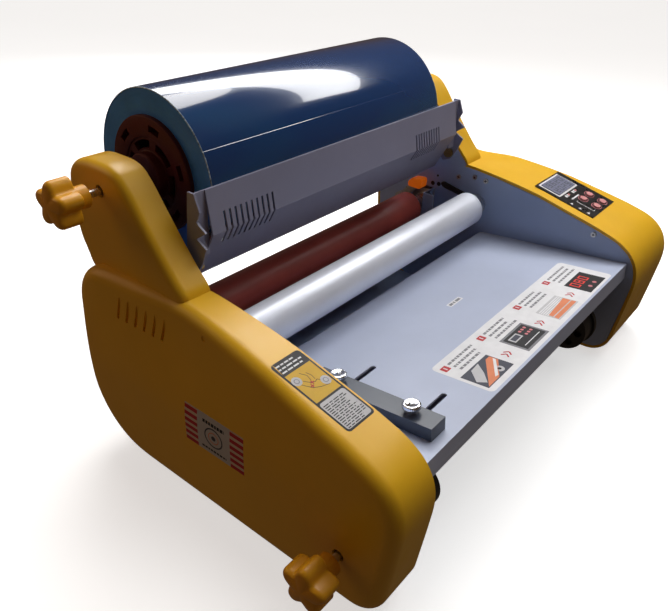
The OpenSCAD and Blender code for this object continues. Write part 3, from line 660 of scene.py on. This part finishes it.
def make_film():
    """The wound film: rounded rims, ends that show their turns, and the loose end as a small step."""
    x0, x1 = span_x("film_roll")
    r1, r0 = radius_of("film_roll"), radius_of("film_core")
    y, z = axis_of("film_roll")
    rng = random.Random(7)
    outer = arc(x0 + RIM_R, r1 - RIM_R, RIM_R, 180, 90, RIM_STEPS)
    outer += arc(x1 - RIM_R, r1 - RIM_R, RIM_R, 90, 0, RIM_STEPS)
    depth = r1 - r0 - END_RIM
    right_end = [(x1 - END_DIP - END_RAGGED * rng.random(), r1 - END_RIM - depth * k / END_ROUNDS)
                 for k in range(END_ROUNDS)]
    left_end = [(x0 + END_DIP + END_RAGGED * rng.random(), r0 + depth * (k + 1) / END_ROUNDS)
                for k in range(END_ROUNDS)]
    profile = outer + right_end + [(x1 - 0.3, r0), (x0 + 0.3, r0)] + left_end
    seam = (360 - SEAM_AT) / 360
    turns = sorted([i / 192 for i in range(192)] + [seam - 0.0004, seam + 0.0004])
    rings = []
    for k, (x, r) in enumerate(profile):
        ring = []
        for t in turns:
            drop = SEAM_STEP * (1 - (t - seam) % 1.0) if k < len(outer) else 0
            a = 2 * math.pi * t
            ring.append(at(x, y + (r - drop) * math.sin(a), z + (r - drop) * math.cos(a)))
        rings.append(ring)
    data = closed_loft(rings)
    barrel = len(outer) - 1

    def slot_of(band):
        """0 is the barrel, 1 the ends, 2 the rounded rims."""
        if band >= barrel:
            return 1
        return 0 if RIM_STEPS <= band < barrel - RIM_STEPS else 2

    slots = [slot_of(f // len(turns)) for f in range(len(data[1]))]
    film = add_object("film_web", data, ["film", "film_edge", "film_rim"], "film_supply", slots, 40)
    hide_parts("film_roll")


def sector(cy, cz, r0, r1, start, end, steps=10):
    """A ring sector's outline in side view, in degrees from straight up towards the back."""
    def point(r, a):
        return (cy + r * math.sin(math.radians(a)), cz + r * math.cos(math.radians(a)))
    angles = [start + (end - start) * i / steps for i in range(steps + 1)]
    return [point(r0, a) for a in angles] + [point(r1, a) for a in reversed(angles)]


def make_core_flanges():
    """Moulded flanges in the film core: a rim with windows, an inner ring of slots and a keyed hub."""
    film_x0, film_x1 = span_x("film_roll")
    cy, cz = axis_of("core_chucks")
    outer, bore, core = (radius_of(node) for node in ("core_chucks", "upper_supply_shaft", "film_core"))
    for side, face, name in ((-1, film_x0, "left_core_flange"), (1, film_x1, "right_core_flange")):
        profile = [(face + side * depth, r) for depth, r in (
            (0.2, outer - 0.4), (0.2, outer), (3.6, outer), (4.4, outer - 0.5), (4.8, outer - 1.4),
            (4.8, 35.5), (4.3, 34.6), (3.2, 34.2), (3.0, 22.5), (3.4, 21.8), (11.2, 21.4), (12.6, 20.4),
            (12.8, 19), (12.8, bore + 3), (12.0, bore + 0.05), (-14, bore + 0.05), (-14, bore + 3),
            (-1, bore + 3.4), (-1, 38), (-19, core - 6.2), (-19, core - 4.4), (0.2, core - 4.4))]
        flange = temp_object(name, closed_loft(lathe_x(profile, cy, cz, 144)))
        cuts = [sector(cy, cz, 40.5, 46.5, a - 9, a + 9) for a in range(-14, 300, 60)]
        cuts += [sector(cy, cz, 24.5, 32, a - 22, a + 22, 14) for a in range(-40, 270, 60)]
        for cut in cuts:
            boolean(flange, temp_object("cut", prism_x(cut, face - 30, face + 30)), "DIFFERENCE")
        finish_cut(flange, "chuck", "film_supply", "chuck", 30, 0.00001)
        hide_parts("core_chucks")


# ---------------- knobs and screws
KNOB_MEAN, KNOB_WAVE, KNOB_LOBES = 17.7, 3.3, 5
KNOB_CROWN, KNOB_FRONT_SOFT, KNOB_BACK_SOFT = 1.6, 5.0, 2.0


def make_star_knob(name, node, body):
    """Soft lobes round a crowned face, with a rounded rim in front and a tighter one behind."""
    x0, x1 = span_x(node)
    lo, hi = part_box(node)
    y = ((lo.y + hi.y) / 2 - ORIGIN.y) / MM
    z = (hi.z - ORIGIN.z) / MM - KNOB_MEAN - KNOB_WAVE

    def ring(x, inset, scale=1.0):
        pts = []
        for a in around(150):
            lobe = math.cos(KNOB_LOBES * a)
            r = (KNOB_MEAN + KNOB_WAVE * (lobe + 0.12 * (1 - lobe * lobe)) - inset) * scale
            pts.append(at(x, y + r * math.sin(a), z + r * math.cos(a)))
        return pts

    face = x0 + KNOB_CROWN
    rings = [ring(face - KNOB_CROWN * (1 - f * f), KNOB_FRONT_SOFT, f) for f in (0.25, 0.5, 0.75, 0.92)]
    for a in quarter(8):
        rings.append(ring(face + KNOB_FRONT_SOFT * (1 - math.cos(a)), KNOB_FRONT_SOFT * (1 - math.sin(a))))
    for a in quarter(5):
        rings.append(ring(x1 - KNOB_BACK_SOFT * (1 - math.sin(a)), KNOB_BACK_SOFT * (1 - math.cos(a))))
    rings.append(ring(x1, KNOB_BACK_SOFT, 0.55))
    knob = add_object(name, loft(rings), "knob", body, sharp=50)
    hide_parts(node)


# The table's slope, and the thumb screws' radii in millimetres. HEAD_EDGE is the rounding of the CAD head.
TABLE_TILT = math.radians(5.5)
TABLE_SIN, TABLE_COS = math.sin(TABLE_TILT), math.cos(TABLE_TILT)
THUMB_RIM, THUMB_NECK, THUMB_SHANK, THUMB_SOCKET, HEAD_EDGE = 7.8, 5.0, 2.5, 3.2, 1.5
KNURLS, KNURL_DEPTH = 36, 0.28


def make_thumbscrew(name, node, body):
    """A knurled clamp screw: wide rim, dished top with a hexagon socket, neck and shank."""
    lo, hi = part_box(node)
    up = Vector((0, TABLE_SIN, TABLE_COS))
    along = Vector((0, TABLE_COS, -TABLE_SIN))
    half = (hi.x - lo.x) / 2
    # The head's top rim is the highest point of the box, and the shank's end the lowest.
    top_lift = (half - HEAD_EDGE * MM) * TABLE_SIN
    height = (hi.z - lo.z - top_lift - THUMB_SHANK * MM * TABLE_SIN) / TABLE_COS
    middle_y = hi.y - half * TABLE_COS + HEAD_EDGE * MM * TABLE_SIN
    top = Vector(((lo.x + hi.x) / 2, middle_y, hi.z - top_lift))
    profile = [(0.0, 6.2), (-0.5, 7.2), (-1.4, THUMB_RIM), (-3.4, THUMB_RIM), (-4.3, 7.3), (-4.9, 6.4),
               (-5.4, THUMB_NECK), (-8.2, THUMB_NECK), (-8.6, THUMB_SHANK), (-height / MM + 0.8, THUMB_SHANK),
               (-height / MM + 0.2, 1.9)]
    inner = [(-4.2, THUMB_SOCKET), (-0.9, THUMB_SOCKET), (-0.7, 3.9), (-0.1, 5.5)]
    rings = []
    for depth, r in [(-4.2, 0.8)] + inner + profile:
        ring = []
        for a in around(144):
            reach = r
            if r == THUMB_RIM:
                reach = r - KNURL_DEPTH * (0.5 + 0.5 * math.cos(KNURLS * a))
            if r == THUMB_SOCKET:
                reach = r * math.cos(math.pi / 6) / math.cos((a % (math.pi / 3)) - math.pi / 6)
            way = Vector((math.cos(a), 0, 0)) + along * math.sin(a)
            ring.append(top + way * reach * MM + up * depth * MM)
        rings.append(ring)
    screw = add_object(name, loft(rings), "chrome", body, sharp=40)
    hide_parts(node)


PLATE_SCREWS = ((57, 182), (34, 187), (18, 186), (-129, 158), (-153, 33))       # (y, z)
SCREW_HEAD = 2


def cross_outline(cy, cz, reach, width, turn):
    """A cross with arms of half a width, turned by an angle in degrees."""
    pts = []
    for k in range(4):
        a = math.radians(turn + 90 * k)
        out, side = Vector((math.cos(a), math.sin(a))), Vector((-math.sin(a), math.cos(a)))
        for p in (out * reach - side * width, out * reach + side * width, (out + side) * width):
            pts.append((cy + p.x, cz + p.y))
    return pts


def make_screw_crosses():
    """Black crosses on the plates' screws: painted shade that stands in for their cross recesses."""
    parts = []
    for side in (-1, 1):
        inner = side * (HALF_W - SCREW_HEAD)
        for k, (y, z) in enumerate(PLATE_SCREWS):
            parts.append(prism_x(cross_outline(y, z, 2.0, 0.42, 20 + 33 * k), inner + 0.05 * side,
                                 inner - 0.06 * side))
    add_object("screw_recess_shade", joined(parts), "black", "frame")


# On the right plate's inner side, as (y, z): the holes with their radii, and the latch strap.
HOLES = ((95, 163.3, 2.9), (85.8, 164.2, 2.9), (97, 153.3, 3.0), (88.6, 175.4, 1.5))
STRAP_OUTLINE = [(82, 168.5), (77, 170.5), (60, 166), (46, 163.5), (43, 161), (46, 157.5), (60, 160),
                 (78, 163.5)]
# The folded tab in plan, as (x, y), and its heights.
TAB_OUTLINE = [(193.8, 93.0), (193.8, 77.2), (195.2, 77.2), (195.2, 90.6), (196.0, 91.6), (219.8, 91.6),
               (219.8, 93.2), (194.8, 93.2)]
TAB_HEIGHTS = (127, 140, 157.4)


def make_plate_details():
    """Dark dished discs in the right plate's holes (painted shade for the holes' dark insides), a strap on
    the right plate, and the grey tab beside the nip.
    """
    shade_discs = []
    # Each black disc is painted shade, where the hole's dark inside shows.
    for y, z, r in HOLES:
        profile = ((HALF_W, r), (HALF_W - 0.35, r), (HALF_W - 0.35, r * 0.8), (HALF_W - 0.1, r * 0.66),
                   (HALF_W - 0.1, r * 0.2))
        shade_discs.append(loft(lathe_x(profile, y, z, 28)))
    add_object("plate_hole_shade_discs", joined(shade_discs), "black", "frame")
    ring = resampled(smoothed(STRAP_OUTLINE, 3), 2.0)
    middle = sum(ring, Vector((0, 0))) / len(ring)
    strap = loft([[at(x, *(p + (middle - p).normalized() * inset)) for p in ring]
                  for x, inset in ((219.9, 0.0), (216.6, 0.0), (215.9, 0.3), (215.6, 1.0))])
    add_object("latch_strap", strap, "black_plastic", "frame")
    tab = loft([[at(x, y, z) for x, y in TAB_OUTLINE] for z in TAB_HEIGHTS])
    add_object("nip_side_tab", tab, "side_plate", "frame")


GRIP_OUTLINE = [(120.2, 166), (114.4, 171.6), (101, 173), (98.6, 170.8), (99.3, 161.2), (102.3, 158.8),
                (119.6, 159.4)]
GRIP_SOFT, GRIP_FROM_LEFT, GRIP_FROM_RIGHT = 1.3, 6, 3


def make_grip():
    """The lever's grip: a block with blunt corners and soft ends, inside the CAD grip's length."""
    x0, x1 = span_x("lever_grip")
    corners = [Vector(p) for p in GRIP_OUTLINE]
    blunt = [p + (q - p).normalized() * GRIP_SOFT for k, p in enumerate(corners)
             for q in (corners[k - 1], corners[(k + 1) % len(corners)])]
    ring = resampled(blunt, 0.8)
    pull = inward(ring)
    turn = [(GRIP_SOFT * (1 - math.sin(a)), GRIP_SOFT * (1 - math.cos(a))) for a in quarter(5)]
    ends = [(x0 + GRIP_FROM_LEFT + dx, d) for dx, d in reversed(turn)]
    ends += [(x1 - GRIP_FROM_RIGHT - dx, d) for dx, d in turn]
    block = loft([[at(x, p.x + n.x * d, p.y + n.y * d) for p, n in zip(ring, pull)] for x, d in ends])
    grip = add_object("lever_grip_block", block, "grip", "pressure_lever", sharp=40)
    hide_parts("lever_grip")


# ---------------- printed labels
def rounded_rect(u0, v0, u1, v1, r=0.0, steps=5):
    if r <= 0:
        return [(u0, v0), (u1, v0), (u1, v1), (u0, v1)]
    pts = []
    for cx, cy, start in ((u1 - r, v0 + r, -90), (u1 - r, v1 - r, 0), (u0 + r, v1 - r, 90),
                          (u0 + r, v0 + r, 180)):
        pts += arc(cx, cy, r, start, start + 90, steps)
    return pts


def stroke(points, width):
    """A polyline drawn with a flat nib, one quad per stretch."""
    out = []
    for a, b in zip(points, points[1:]):
        a, b = Vector(a), Vector(b)
        d = b - a
        n = Vector((-d.y, d.x)).normalized() * width / 2
        out.append([tuple(a - n), tuple(b - n), tuple(b + n), tuple(a + n)])
    return out


class Sheet(list):
    """Printed shapes as (ink, level, outline); a higher level lies on a lower one."""

    def add(self, ink, level, outline):
        self.append((ink, level, outline))

    def box(self, ink, level, u0, v0, u1, v1, r=0.0):
        self.add(ink, level, rounded_rect(u0, v0, u1, v1, r))

    def disc(self, ink, level, u, v, r, steps=24, squash=1.0):
        self.add(ink, level, disc(u, v, r, steps, squash))

    def line(self, ink, level, points, width):
        for leg in stroke(points, width):
            self.add(ink, level, leg)

    def hoop(self, ink, level, u, v, r, steps, squash, width):
        rim = disc(u, v, r, steps, squash)
        self.line(ink, level, rim + [rim[0]], width)


def surface_of(obj):
    mesh = obj.data
    return BVHTree.FromPolygons([v.co.copy() for v in mesh.vertices],
                                [tuple(p.vertices) for p in mesh.polygons])


# Millimetres from the surface: the underside, the lowest ink's top, and each further level.
INK_UNDER, INK_TOP, INK_LEVEL = -0.05, 0.06, 0.05


def print_on(name, place, shapes, body, cell=None):
    """Printed shapes as thin raised solids. place(u, v, h) is a point h millimetres off the surface, and
    cell is the grid that cuts the shapes up where the surface is curved."""
    keys = list(dict.fromkeys(key for key, _, _ in shapes))
    verts, faces, slots = [], [], []
    for key, level, outline in shapes:
        bm = bmesh.new()
        bm.faces.new([bm.verts.new((u, v, 0)) for u, v in outline])
        if cell:
            for axis, normal in enumerate((Vector((1, 0, 0)), Vector((0, 1, 0)))):
                low, high = min(p[axis] for p in outline), max(p[axis] for p in outline)
                cut = math.floor(low / cell + 1) * cell
                while cut < high:
                    bmesh.ops.bisect_plane(bm, geom=bm.verts[:] + bm.edges[:] + bm.faces[:],
                                           plane_co=normal * cut, plane_no=normal, dist=1e-5)
                    cut += cell
        bm.verts.index_update()
        flat = [(v.co.x, v.co.y) for v in bm.verts]
        n, base = len(flat), len(verts)
        verts += [place(u, v, INK_TOP + INK_LEVEL * level) for u, v in flat]
        verts += [place(u, v, INK_UNDER) for u, v in flat]
        made = [tuple(v.index for v in f.verts) for f in bm.faces]
        sides = [(e.verts[0].index, e.verts[1].index) for e in bm.edges if len(e.link_faces) == 1]
        bm.free()
        faces += [tuple(base + i for i in f) for f in made]
        faces += [tuple(base + n + i for i in reversed(f)) for f in made]
        faces += [(base + a, base + b, base + n + b, base + n + a) for a, b in sides]
        slots += [keys.index(key)] * (2 * len(made) + len(sides))
    return add_object(name, (verts, faces), keys, body, slots, 30)


def text_rows(key, level, u0, v0, v1, rows, width, rng, fill=0.42):
    """Rows of short bars that stand in for small print, running along u from u0."""
    out = []
    pitch = (v1 - v0) / rows
    for r in range(rows):
        v = v0 + pitch * (r + 0.5)
        u, end = u0, u0 + width * rng.uniform(0.72, 1.0)
        while u < end:
            step = rng.uniform(2.2, 6.0)
            out.append((key, level, rounded_rect(u, v - pitch * fill / 2, min(u + step, end),
                                                 v + pitch * fill / 2)))
            u += step + 1.1
    return out


def draped(tree, start, direction):
    """A place(u, v, h) that drops a point onto a surface from start(u, v) along direction."""
    way = Vector(direction)

    def place(u, v, h):
        hit, normal, _, _ = tree.ray_cast(start(u, v), way)
        if normal.dot(way) > 0:
            normal = -normal
        return hit + normal * h * MM
    return place


STRIP = (-103.0, -171.0, 181.0, -108.6)          # x0, y0, x1, y1 on the table


def make_table_prints():
    """The instruction strip by the table's front edge, and a small sticker. Both are generic."""
    place = draped(surface_of(NODES["feed_table"]), lambda u, v: at(u, v, 200), (0, 0, -1))
    rng = random.Random(21)
    s = Sheet()
    s.box("white", 0, *STRIP, 5)
    # Four steps along the strip: a numbered tag and small print behind, a picture in front
    for u, u_text in ((-94.5, -87), (-28.0, -20), (49.3, 57), (120.3, 129)):
        s.box("red", 1, u - 4.2, -123.2, u + 4.2, -115.6, 0.8)
        s.box("white", 2, u - 0.7, -121.6, u + 0.7, -117.2)
        s += text_rows("grey", 1, u_text, -133.5, -114.5, 3, 46, rng)
    # Step 1: film over a roller
    s.box("slate", 1, -99, -165, -52, -137)
    s.add("pale", 2, [(-97, -152), (-84, -139.5), (-70, -138.5), (-80, -150), (-92, -160)])
    s.add("salmon", 3, [(-97, -164), (-60, -141), (-53, -141), (-53, -150), (-78, -164)])
    s.add("white", 4, [(-76, -162), (-54, -148), (-54, -145), (-80, -161)])
    s.disc("pale", 3, -66, -158, 4.6)
    s.disc("black", 4, -66, -158, 1.8)
    # Step 2: the control panel
    s.box("grey", 1, -24, -166.5, 21.5, -136)
    s.box("black", 2, -21, -164, 19, -138.5)
    s.box("pale", 3, -17, -150, -1, -141.5)
    s.box("slate", 4, -15, -148.5, -3, -143)
    for k in range(3):
        s.disc("pink", 3, 4.5 + 5 * k, -143.5, 1.7, 14)
        s.disc("pink", 3, 4.5 + 5 * k, -150.5, 1.7, 14)
    s.box("white", 3, -16, -159.5, 15, -158.6)
    # Step 3: sheets feeding in
    s.box("pale", 1, 49, -165.5, 97, -139.5)
    for k in range(5):
        s.box("white", 2, 50, -143.4 - 2.3 * k, 96, -142.3 - 2.3 * k)
    s.add("salmon", 3, [(50, -163.5), (52, -152.5), (96, -149), (96, -163.5)])
    s.box("pale", 4, 50, -158.5, 96, -157.4)
    # Step 4: a display with three digits
    s.box("black", 1, 124.6, -168, 168.5, -138)
    for k in range(3):
        for part in range(7):
            if part != 3 or k == 1:
                s.add("digit", 3, seven_segment(part, 129 + 11 * k, -153.5, 7.5, 11.5, 1.5))
    for k in range(2):
        s.disc("pink", 3, 140 + 12 * k, -161.5, 2.4, 16)
    # Arrows between the pictures
    for u in (-41, 31, 107):
        for k in range(2):
            s.line("red", 2, [(u + 5 * k - 3, -148), (u + 5 * k + 1, -152), (u + 5 * k - 3, -156)], 1.5)
    print_on("instruction_strip", place, s, "frame")
    small = Sheet()
    small.box("white", 0, 12, -63, 37, -56.5, 0.8)
    for u0, u1 in ((14, 20), (21.5, 24), (26, 34.5)):
        small.box("grey", 1, u0, -61.4, u1, -58.2)
    print_on("table_sticker", place, small, "frame")


def seven_segment(part, u, v, w, h, t):
    """One bar of a seven-segment digit. Parts run top, two upper, middle, two lower, bottom."""
    boxes = ((u, v + h - t, u + w, v + h), (u, v + h / 2, u + t, v + h), (u + w - t, v + h / 2, u + w, v + h),
             (u, v + h / 2 - t / 2, u + w, v + h / 2 + t / 2), (u, v, u + t, v + h / 2),
             (u + w - t, v, u + w, v + h / 2), (u, v, u + w, v + t))
    return rounded_rect(*boxes[part])


def make_top_label():
    """A generic threading label on the left housing's slope: header, roller diagram and small print."""
    place = draped(surface_of(left_housing), lambda u, v: at(u, v, 320), (0, 0, -1))
    u0, u1, v0, v1 = -253.2, -221.6, -131.5, -54.0
    rng = random.Random(5)
    s = Sheet()
    s.box("black", 0, u0, v0, u1, v1, 3.2)
    s.box("yellow", 1, u0 + 1.7, -99.6, u1 - 1.7, -68.0)
    s.box("pale", 1, u0 + 1.7, v0 + 1.8, u1 - 1.7, -101.4, 2.4)
    for ink, level, low, high, count, width in (("white", 1, -66.5, -56.0, 3, 25),
                                                ("black", 2, -129.5, -104.0, 13, 26)):
        for key, lift, outline in text_rows(ink, level, u0 + 3, 0, high - low, count, width, rng, 0.4):
            s.add(key, lift, [(u, low + v) for u, v in outline])
    for cu, cv in ((-247.5, -76.5), (-228.0, -88.5)):
        s.disc("pale", 2, cu, cv, 4.3, 28)
        s.disc("grey", 3, cu, cv, 2.3, 24)
        s.disc("pale", 4, cu, cv, 1.7, 20)
    for points, width in (([(-243.4, -79), (-240, -83), (-236, -85), (-233, -84), (-231.5, -86)], 0.45),
                          ([(-247, -81), (-242, -88), (-236, -91), (-228.5, -93)], 0.45),
                          ([(-240, -72), (-236.5, -77), (-237.5, -82)], 0.4),
                          ([(-235, -74.5), (-233.4, -79), (-234, -83)], 0.4)):
        s.line("black", 2, points, width)
    for cu, cv in ((-241, -86.5), (-238.4, -84.0)):
        s.line("red", 3, [(cu - 1.8, cv), (cu + 1.8, cv)], 0.8)
        s.line("red", 3, [(cu, cv - 1.8), (cu, cv + 1.8)], 0.8)
    print_on("threading_label", place, s, "frame", 3.0)


def make_side_sticker():
    """A striped sticker with a plain roller emblem on the left housing's outer face."""
    place = draped(surface_of(left_housing), lambda u, v: at(-330, -2.5 - u, v), (1, 0, 0))
    cz = 97.5
    rng = random.Random(9)
    s = Sheet()
    for u0, u1 in ((-36, -20), (20, 36)):
        s.box("cream", 0, u0, cz - 20, u1, cz + 20)
        for k in range(6):
            v = cz - 18.6 + 6.9 * k
            s.box("red", 1, u0, v - 1.4, u1, v + 2.4)
    s.box("pale", 0, -20, cz - 20, 20, cz + 20)
    for v, width, height in ((cz + 12.5, 13, 3.2), (cz - 15.5, 15, 2.0)):
        u = -width
        while u < width:
            step = rng.uniform(2.0, 3.6)
            s.box("black", 1, u, v - height / 2, min(u + step, width), v + height / 2)
            u += step + 0.9
    s.hoop("slate", 1, 0, cz - 1, 10.5, 36, 0.9, 1.3)
    s.hoop("salmon", 1, 0, cz - 1, 6.0, 28, 0.9, 0.8)
    s.disc("slate", 1, 0, cz - 1, 2.6, 22, 0.9)
    print_on("side_sticker", place, s, "frame", 6.0)


PLATE_THICK = 0.8
SCREEN = (-26.5, 10.2, 22.5, 35.8)    # the display's (u0, v0, u1, v1) on the panel


def make_panel_prints():
    """The white lines, icons and the display's digits on the control plate."""
    def on_plate(u, v, h):
        return on_panel(u, v, PLATE_THICK + h)

    s = Sheet()
    u0, v0, u1, v1 = SCREEN
    for frame_bar in ((u0 - 3, v0 - 2.6, u1 + 3, v0 - 0.2), (u0 - 3, v1 + 0.2, u1 + 3, v1 + 2.6),
                      (u0 - 3, v0 - 0.2, u0 - 0.2, v1 + 0.2), (u1 + 0.2, v0 - 0.2, u1 + 3, v1 + 0.2)):
        s.box("white", 2, *frame_bar)
    for u in (-11.5, 8.6):
        for k in range(2):
            s.box("white", 1, u - 9 + 5 * k, 1.4, u - 5.2 + 5 * k, 5.4, 0.6)
    s.box("white", 1, -18, -5.2, 3, -3.2)
    s.line("white", 1, [(-14, -10.5), (-17, -10.5), (-17, -34), (-14, -34)], 0.8)
    for k in range(3):
        v = -9 - 11.5 * k
        s.add("white", 1, [(-31, v - 2.2), (-26.5, v), (-31, v + 2.2)])
    for cu, cv in ((18.3, -12.4), (-1, -12.4), (18.3, -31), (-1, -31)):
        s.hoop("pink", 1, cu, cv, 7.3, 30, 0.84, 0.7)
    print_on("panel_prints", on_plate, s, "frame")
    # The digits lie on the display's top, measured along the panel's normal.
    points = [(v.co - ORIGIN) / MM for v in NODES["display_window"].data.vertices]
    top = max((p.z - PANEL_Z) * PANEL_COS - (p.y - PANEL_Y) * PANEL_SIN for p in points)

    def on_screen(u, v, h):
        return on_panel(u, v, top + h)

    digits = Sheet()
    for row in range(2):
        for k in range(4):
            u, v = u0 + 5 + 10.6 * k, v0 + 2.2 + 11.8 * row
            for part in range(7):
                if (part + 2 * k + row) % 5:
                    digits.add("slate", 0, seven_segment(part, u, v, 6.8, 9.0, 1.3))
    print_on("display_digits", on_screen, digits, "frame")


make_camera()
left_housing, right_housing = make_housings()
make_film()
make_core_flanges()
for end in ("front", "rear"):
    make_thumbscrew(end + "_clamp_screw", end + "_thumbscrew", end + "_screw")
make_screw_crosses()
make_plate_details()
make_grip()
for end in ("upper", "lower"):
    make_star_knob(end + "_star_knob", end + "_knob", end + "_tension_knob")
make_table_prints()
make_top_label()
make_side_sticker()
make_panel_prints()

# CAD nodes by material and edge softening in millimetres; * stands for both upper and lower.
DRESS = (
    ("side_plate", 0, "left_side_plate right_side_plate"), ("side_plate", 0.4, "base_pan"),
    ("table", 1.1, "feed_table"), ("guard", 0.3, "heat_guard"),
    ("steel", 0.5, "*_supply_shaft *_nip_core *_pull_shaft idler_shaft"),
    ("steel", 0.4, "roller_bearings tension_studs"), ("idler_silver", 0.8, "idler_roller"),
    ("silicone", 0.8, "*_nip_sleeve"), ("black_rubber", 0.6, "*_pull_sleeve"), ("black_rubber", 0.8, "feet"),
    ("black_rubber", 0.2, "drive_belt"), ("card", 0.3, "film_core"),
    ("black_plastic", 0.6, "lower_chucks"), ("black_plastic", 0.4, "power_inlet power_switch"),
    ("black_plastic", 0.3, "drive_pulley pull_pulley"), ("panel", 0.2, "control_plate"),
    ("display", 0.3, "display_window"), ("lamp", 0.3, "indicator_lamps"),
    ("button", 0.5, "button_up button_down button_mode button_run"),
    ("circuit_board", 0.1, "control_board power_board"), ("motor", 0.5, "gear_motor"),
    ("zinc", 0.5, "cross_rails"), ("zinc", 0.3, "table_brackets heater_rods"),
    ("zinc", 0.6, "pressure_blocks"), ("zinc", 0.4, "cam_shaft plate_screws"),
    ("brass", 0.5, "guard_pivot_screws"), ("gear", 0.2, "*_nip_gear motor_pinion"),
    ("guide", 0.6, "guide_bar"), ("chrome", 0.3, "guide_nuts"), ("knob", 1.0, "*_collar"),
)
for material, bevel, nodes in DRESS:
    for pattern in nodes.split():
        for node in sorted({pattern.replace("*", end) for end in ("upper", "lower")}):
            dress(node, material, bevel)


# ---------------- stage and light
def add_area(name, place, target, size, power, color=(1, 1, 1)):
    data = bpy.data.lights.new(name, "AREA")
    data.shape, data.size, data.size_y = "RECTANGLE", size[0], size[1]
    data.energy, data.color = power, color
    obj = link_object(name, data)
    obj.location = place
    obj.rotation_euler = (Vector(target) - Vector(place)).to_track_quat("-Z", "Y").to_euler()
    return obj


DOME_HEIGHT, DOME_RADIUS, FLOOR_EDGE = 9.0, 12.6, 14.4


def make_stage():
    corners = [(x * FLOOR_EDGE, y * FLOOR_EDGE, 0) for x, y in ((-1, -1), (1, -1), (1, 1), (-1, 1))]
    floor = add_object("floor", (corners, [(0, 1, 2, 3)]), "floor", None)
    # The floor is seen, but it throws no light up onto the machine.
    floor.visible_diffuse = floor.visible_glossy = False
    rings = []
    for k in range(13):
        a = math.radians(90 * k / 12.5)
        reach, height = DOME_RADIUS * math.cos(a), DOME_HEIGHT * math.sin(a)
        rings.append([Vector((x, y, height)) for x, y in disc(0, 0, reach, 48)])
    backdrop = add_object("backdrop", loft(rings, close_start=False), "backdrop", None, sharp=60)
    # Light passes through the backdrop, so the room stays lit by the lamps and the world alone.
    backdrop.visible_diffuse = backdrop.visible_glossy = backdrop.visible_shadow = False
    sun = bpy.data.lights.new("soft_sun", "SUN")
    sun.energy, sun.angle, sun.color = 1.05, math.radians(30), (1.0, 0.98, 0.95)
    direction = Vector((-0.42, -0.36, -1.0))
    link_object("soft_sun", sun).rotation_euler = direction.to_track_quat("-Z", "Y").to_euler()
    add_area("key", (0.74, 0.36, 1.14), (0.0, 0.05, 0.30), (1.7, 0.30), 11)
    add_area("back_fill", (-0.80, 1.05, 0.80), (-0.1, 0.05, 0.2), (0.7, 0.7), 1.7, (1.0, 0.62, 0.36))
    # These two only fill shadows, so they leave no reflections.
    for light in (add_area("rear_fill", (1.0, 1.35, 0.75), (0.0, 0.15, 0.15), (0.9, 0.9), 4),
                  add_area("overhead", (0.60, -0.50, 1.55), (0.15, -0.05, 0.10), (1.2, 1.0), 9.5)):
        light.visible_glossy = False
    world = bpy.data.worlds.new("studio")
    world.use_nodes = True
    background = world.node_tree.nodes["Background"]
    background.inputs["Color"].default_value = (1.0, 0.70, 0.50, 1)
    background.inputs["Strength"].default_value = 0.075
    SCENE.world = world
    SCENE.view_settings.view_transform = "Standard"


make_stage()
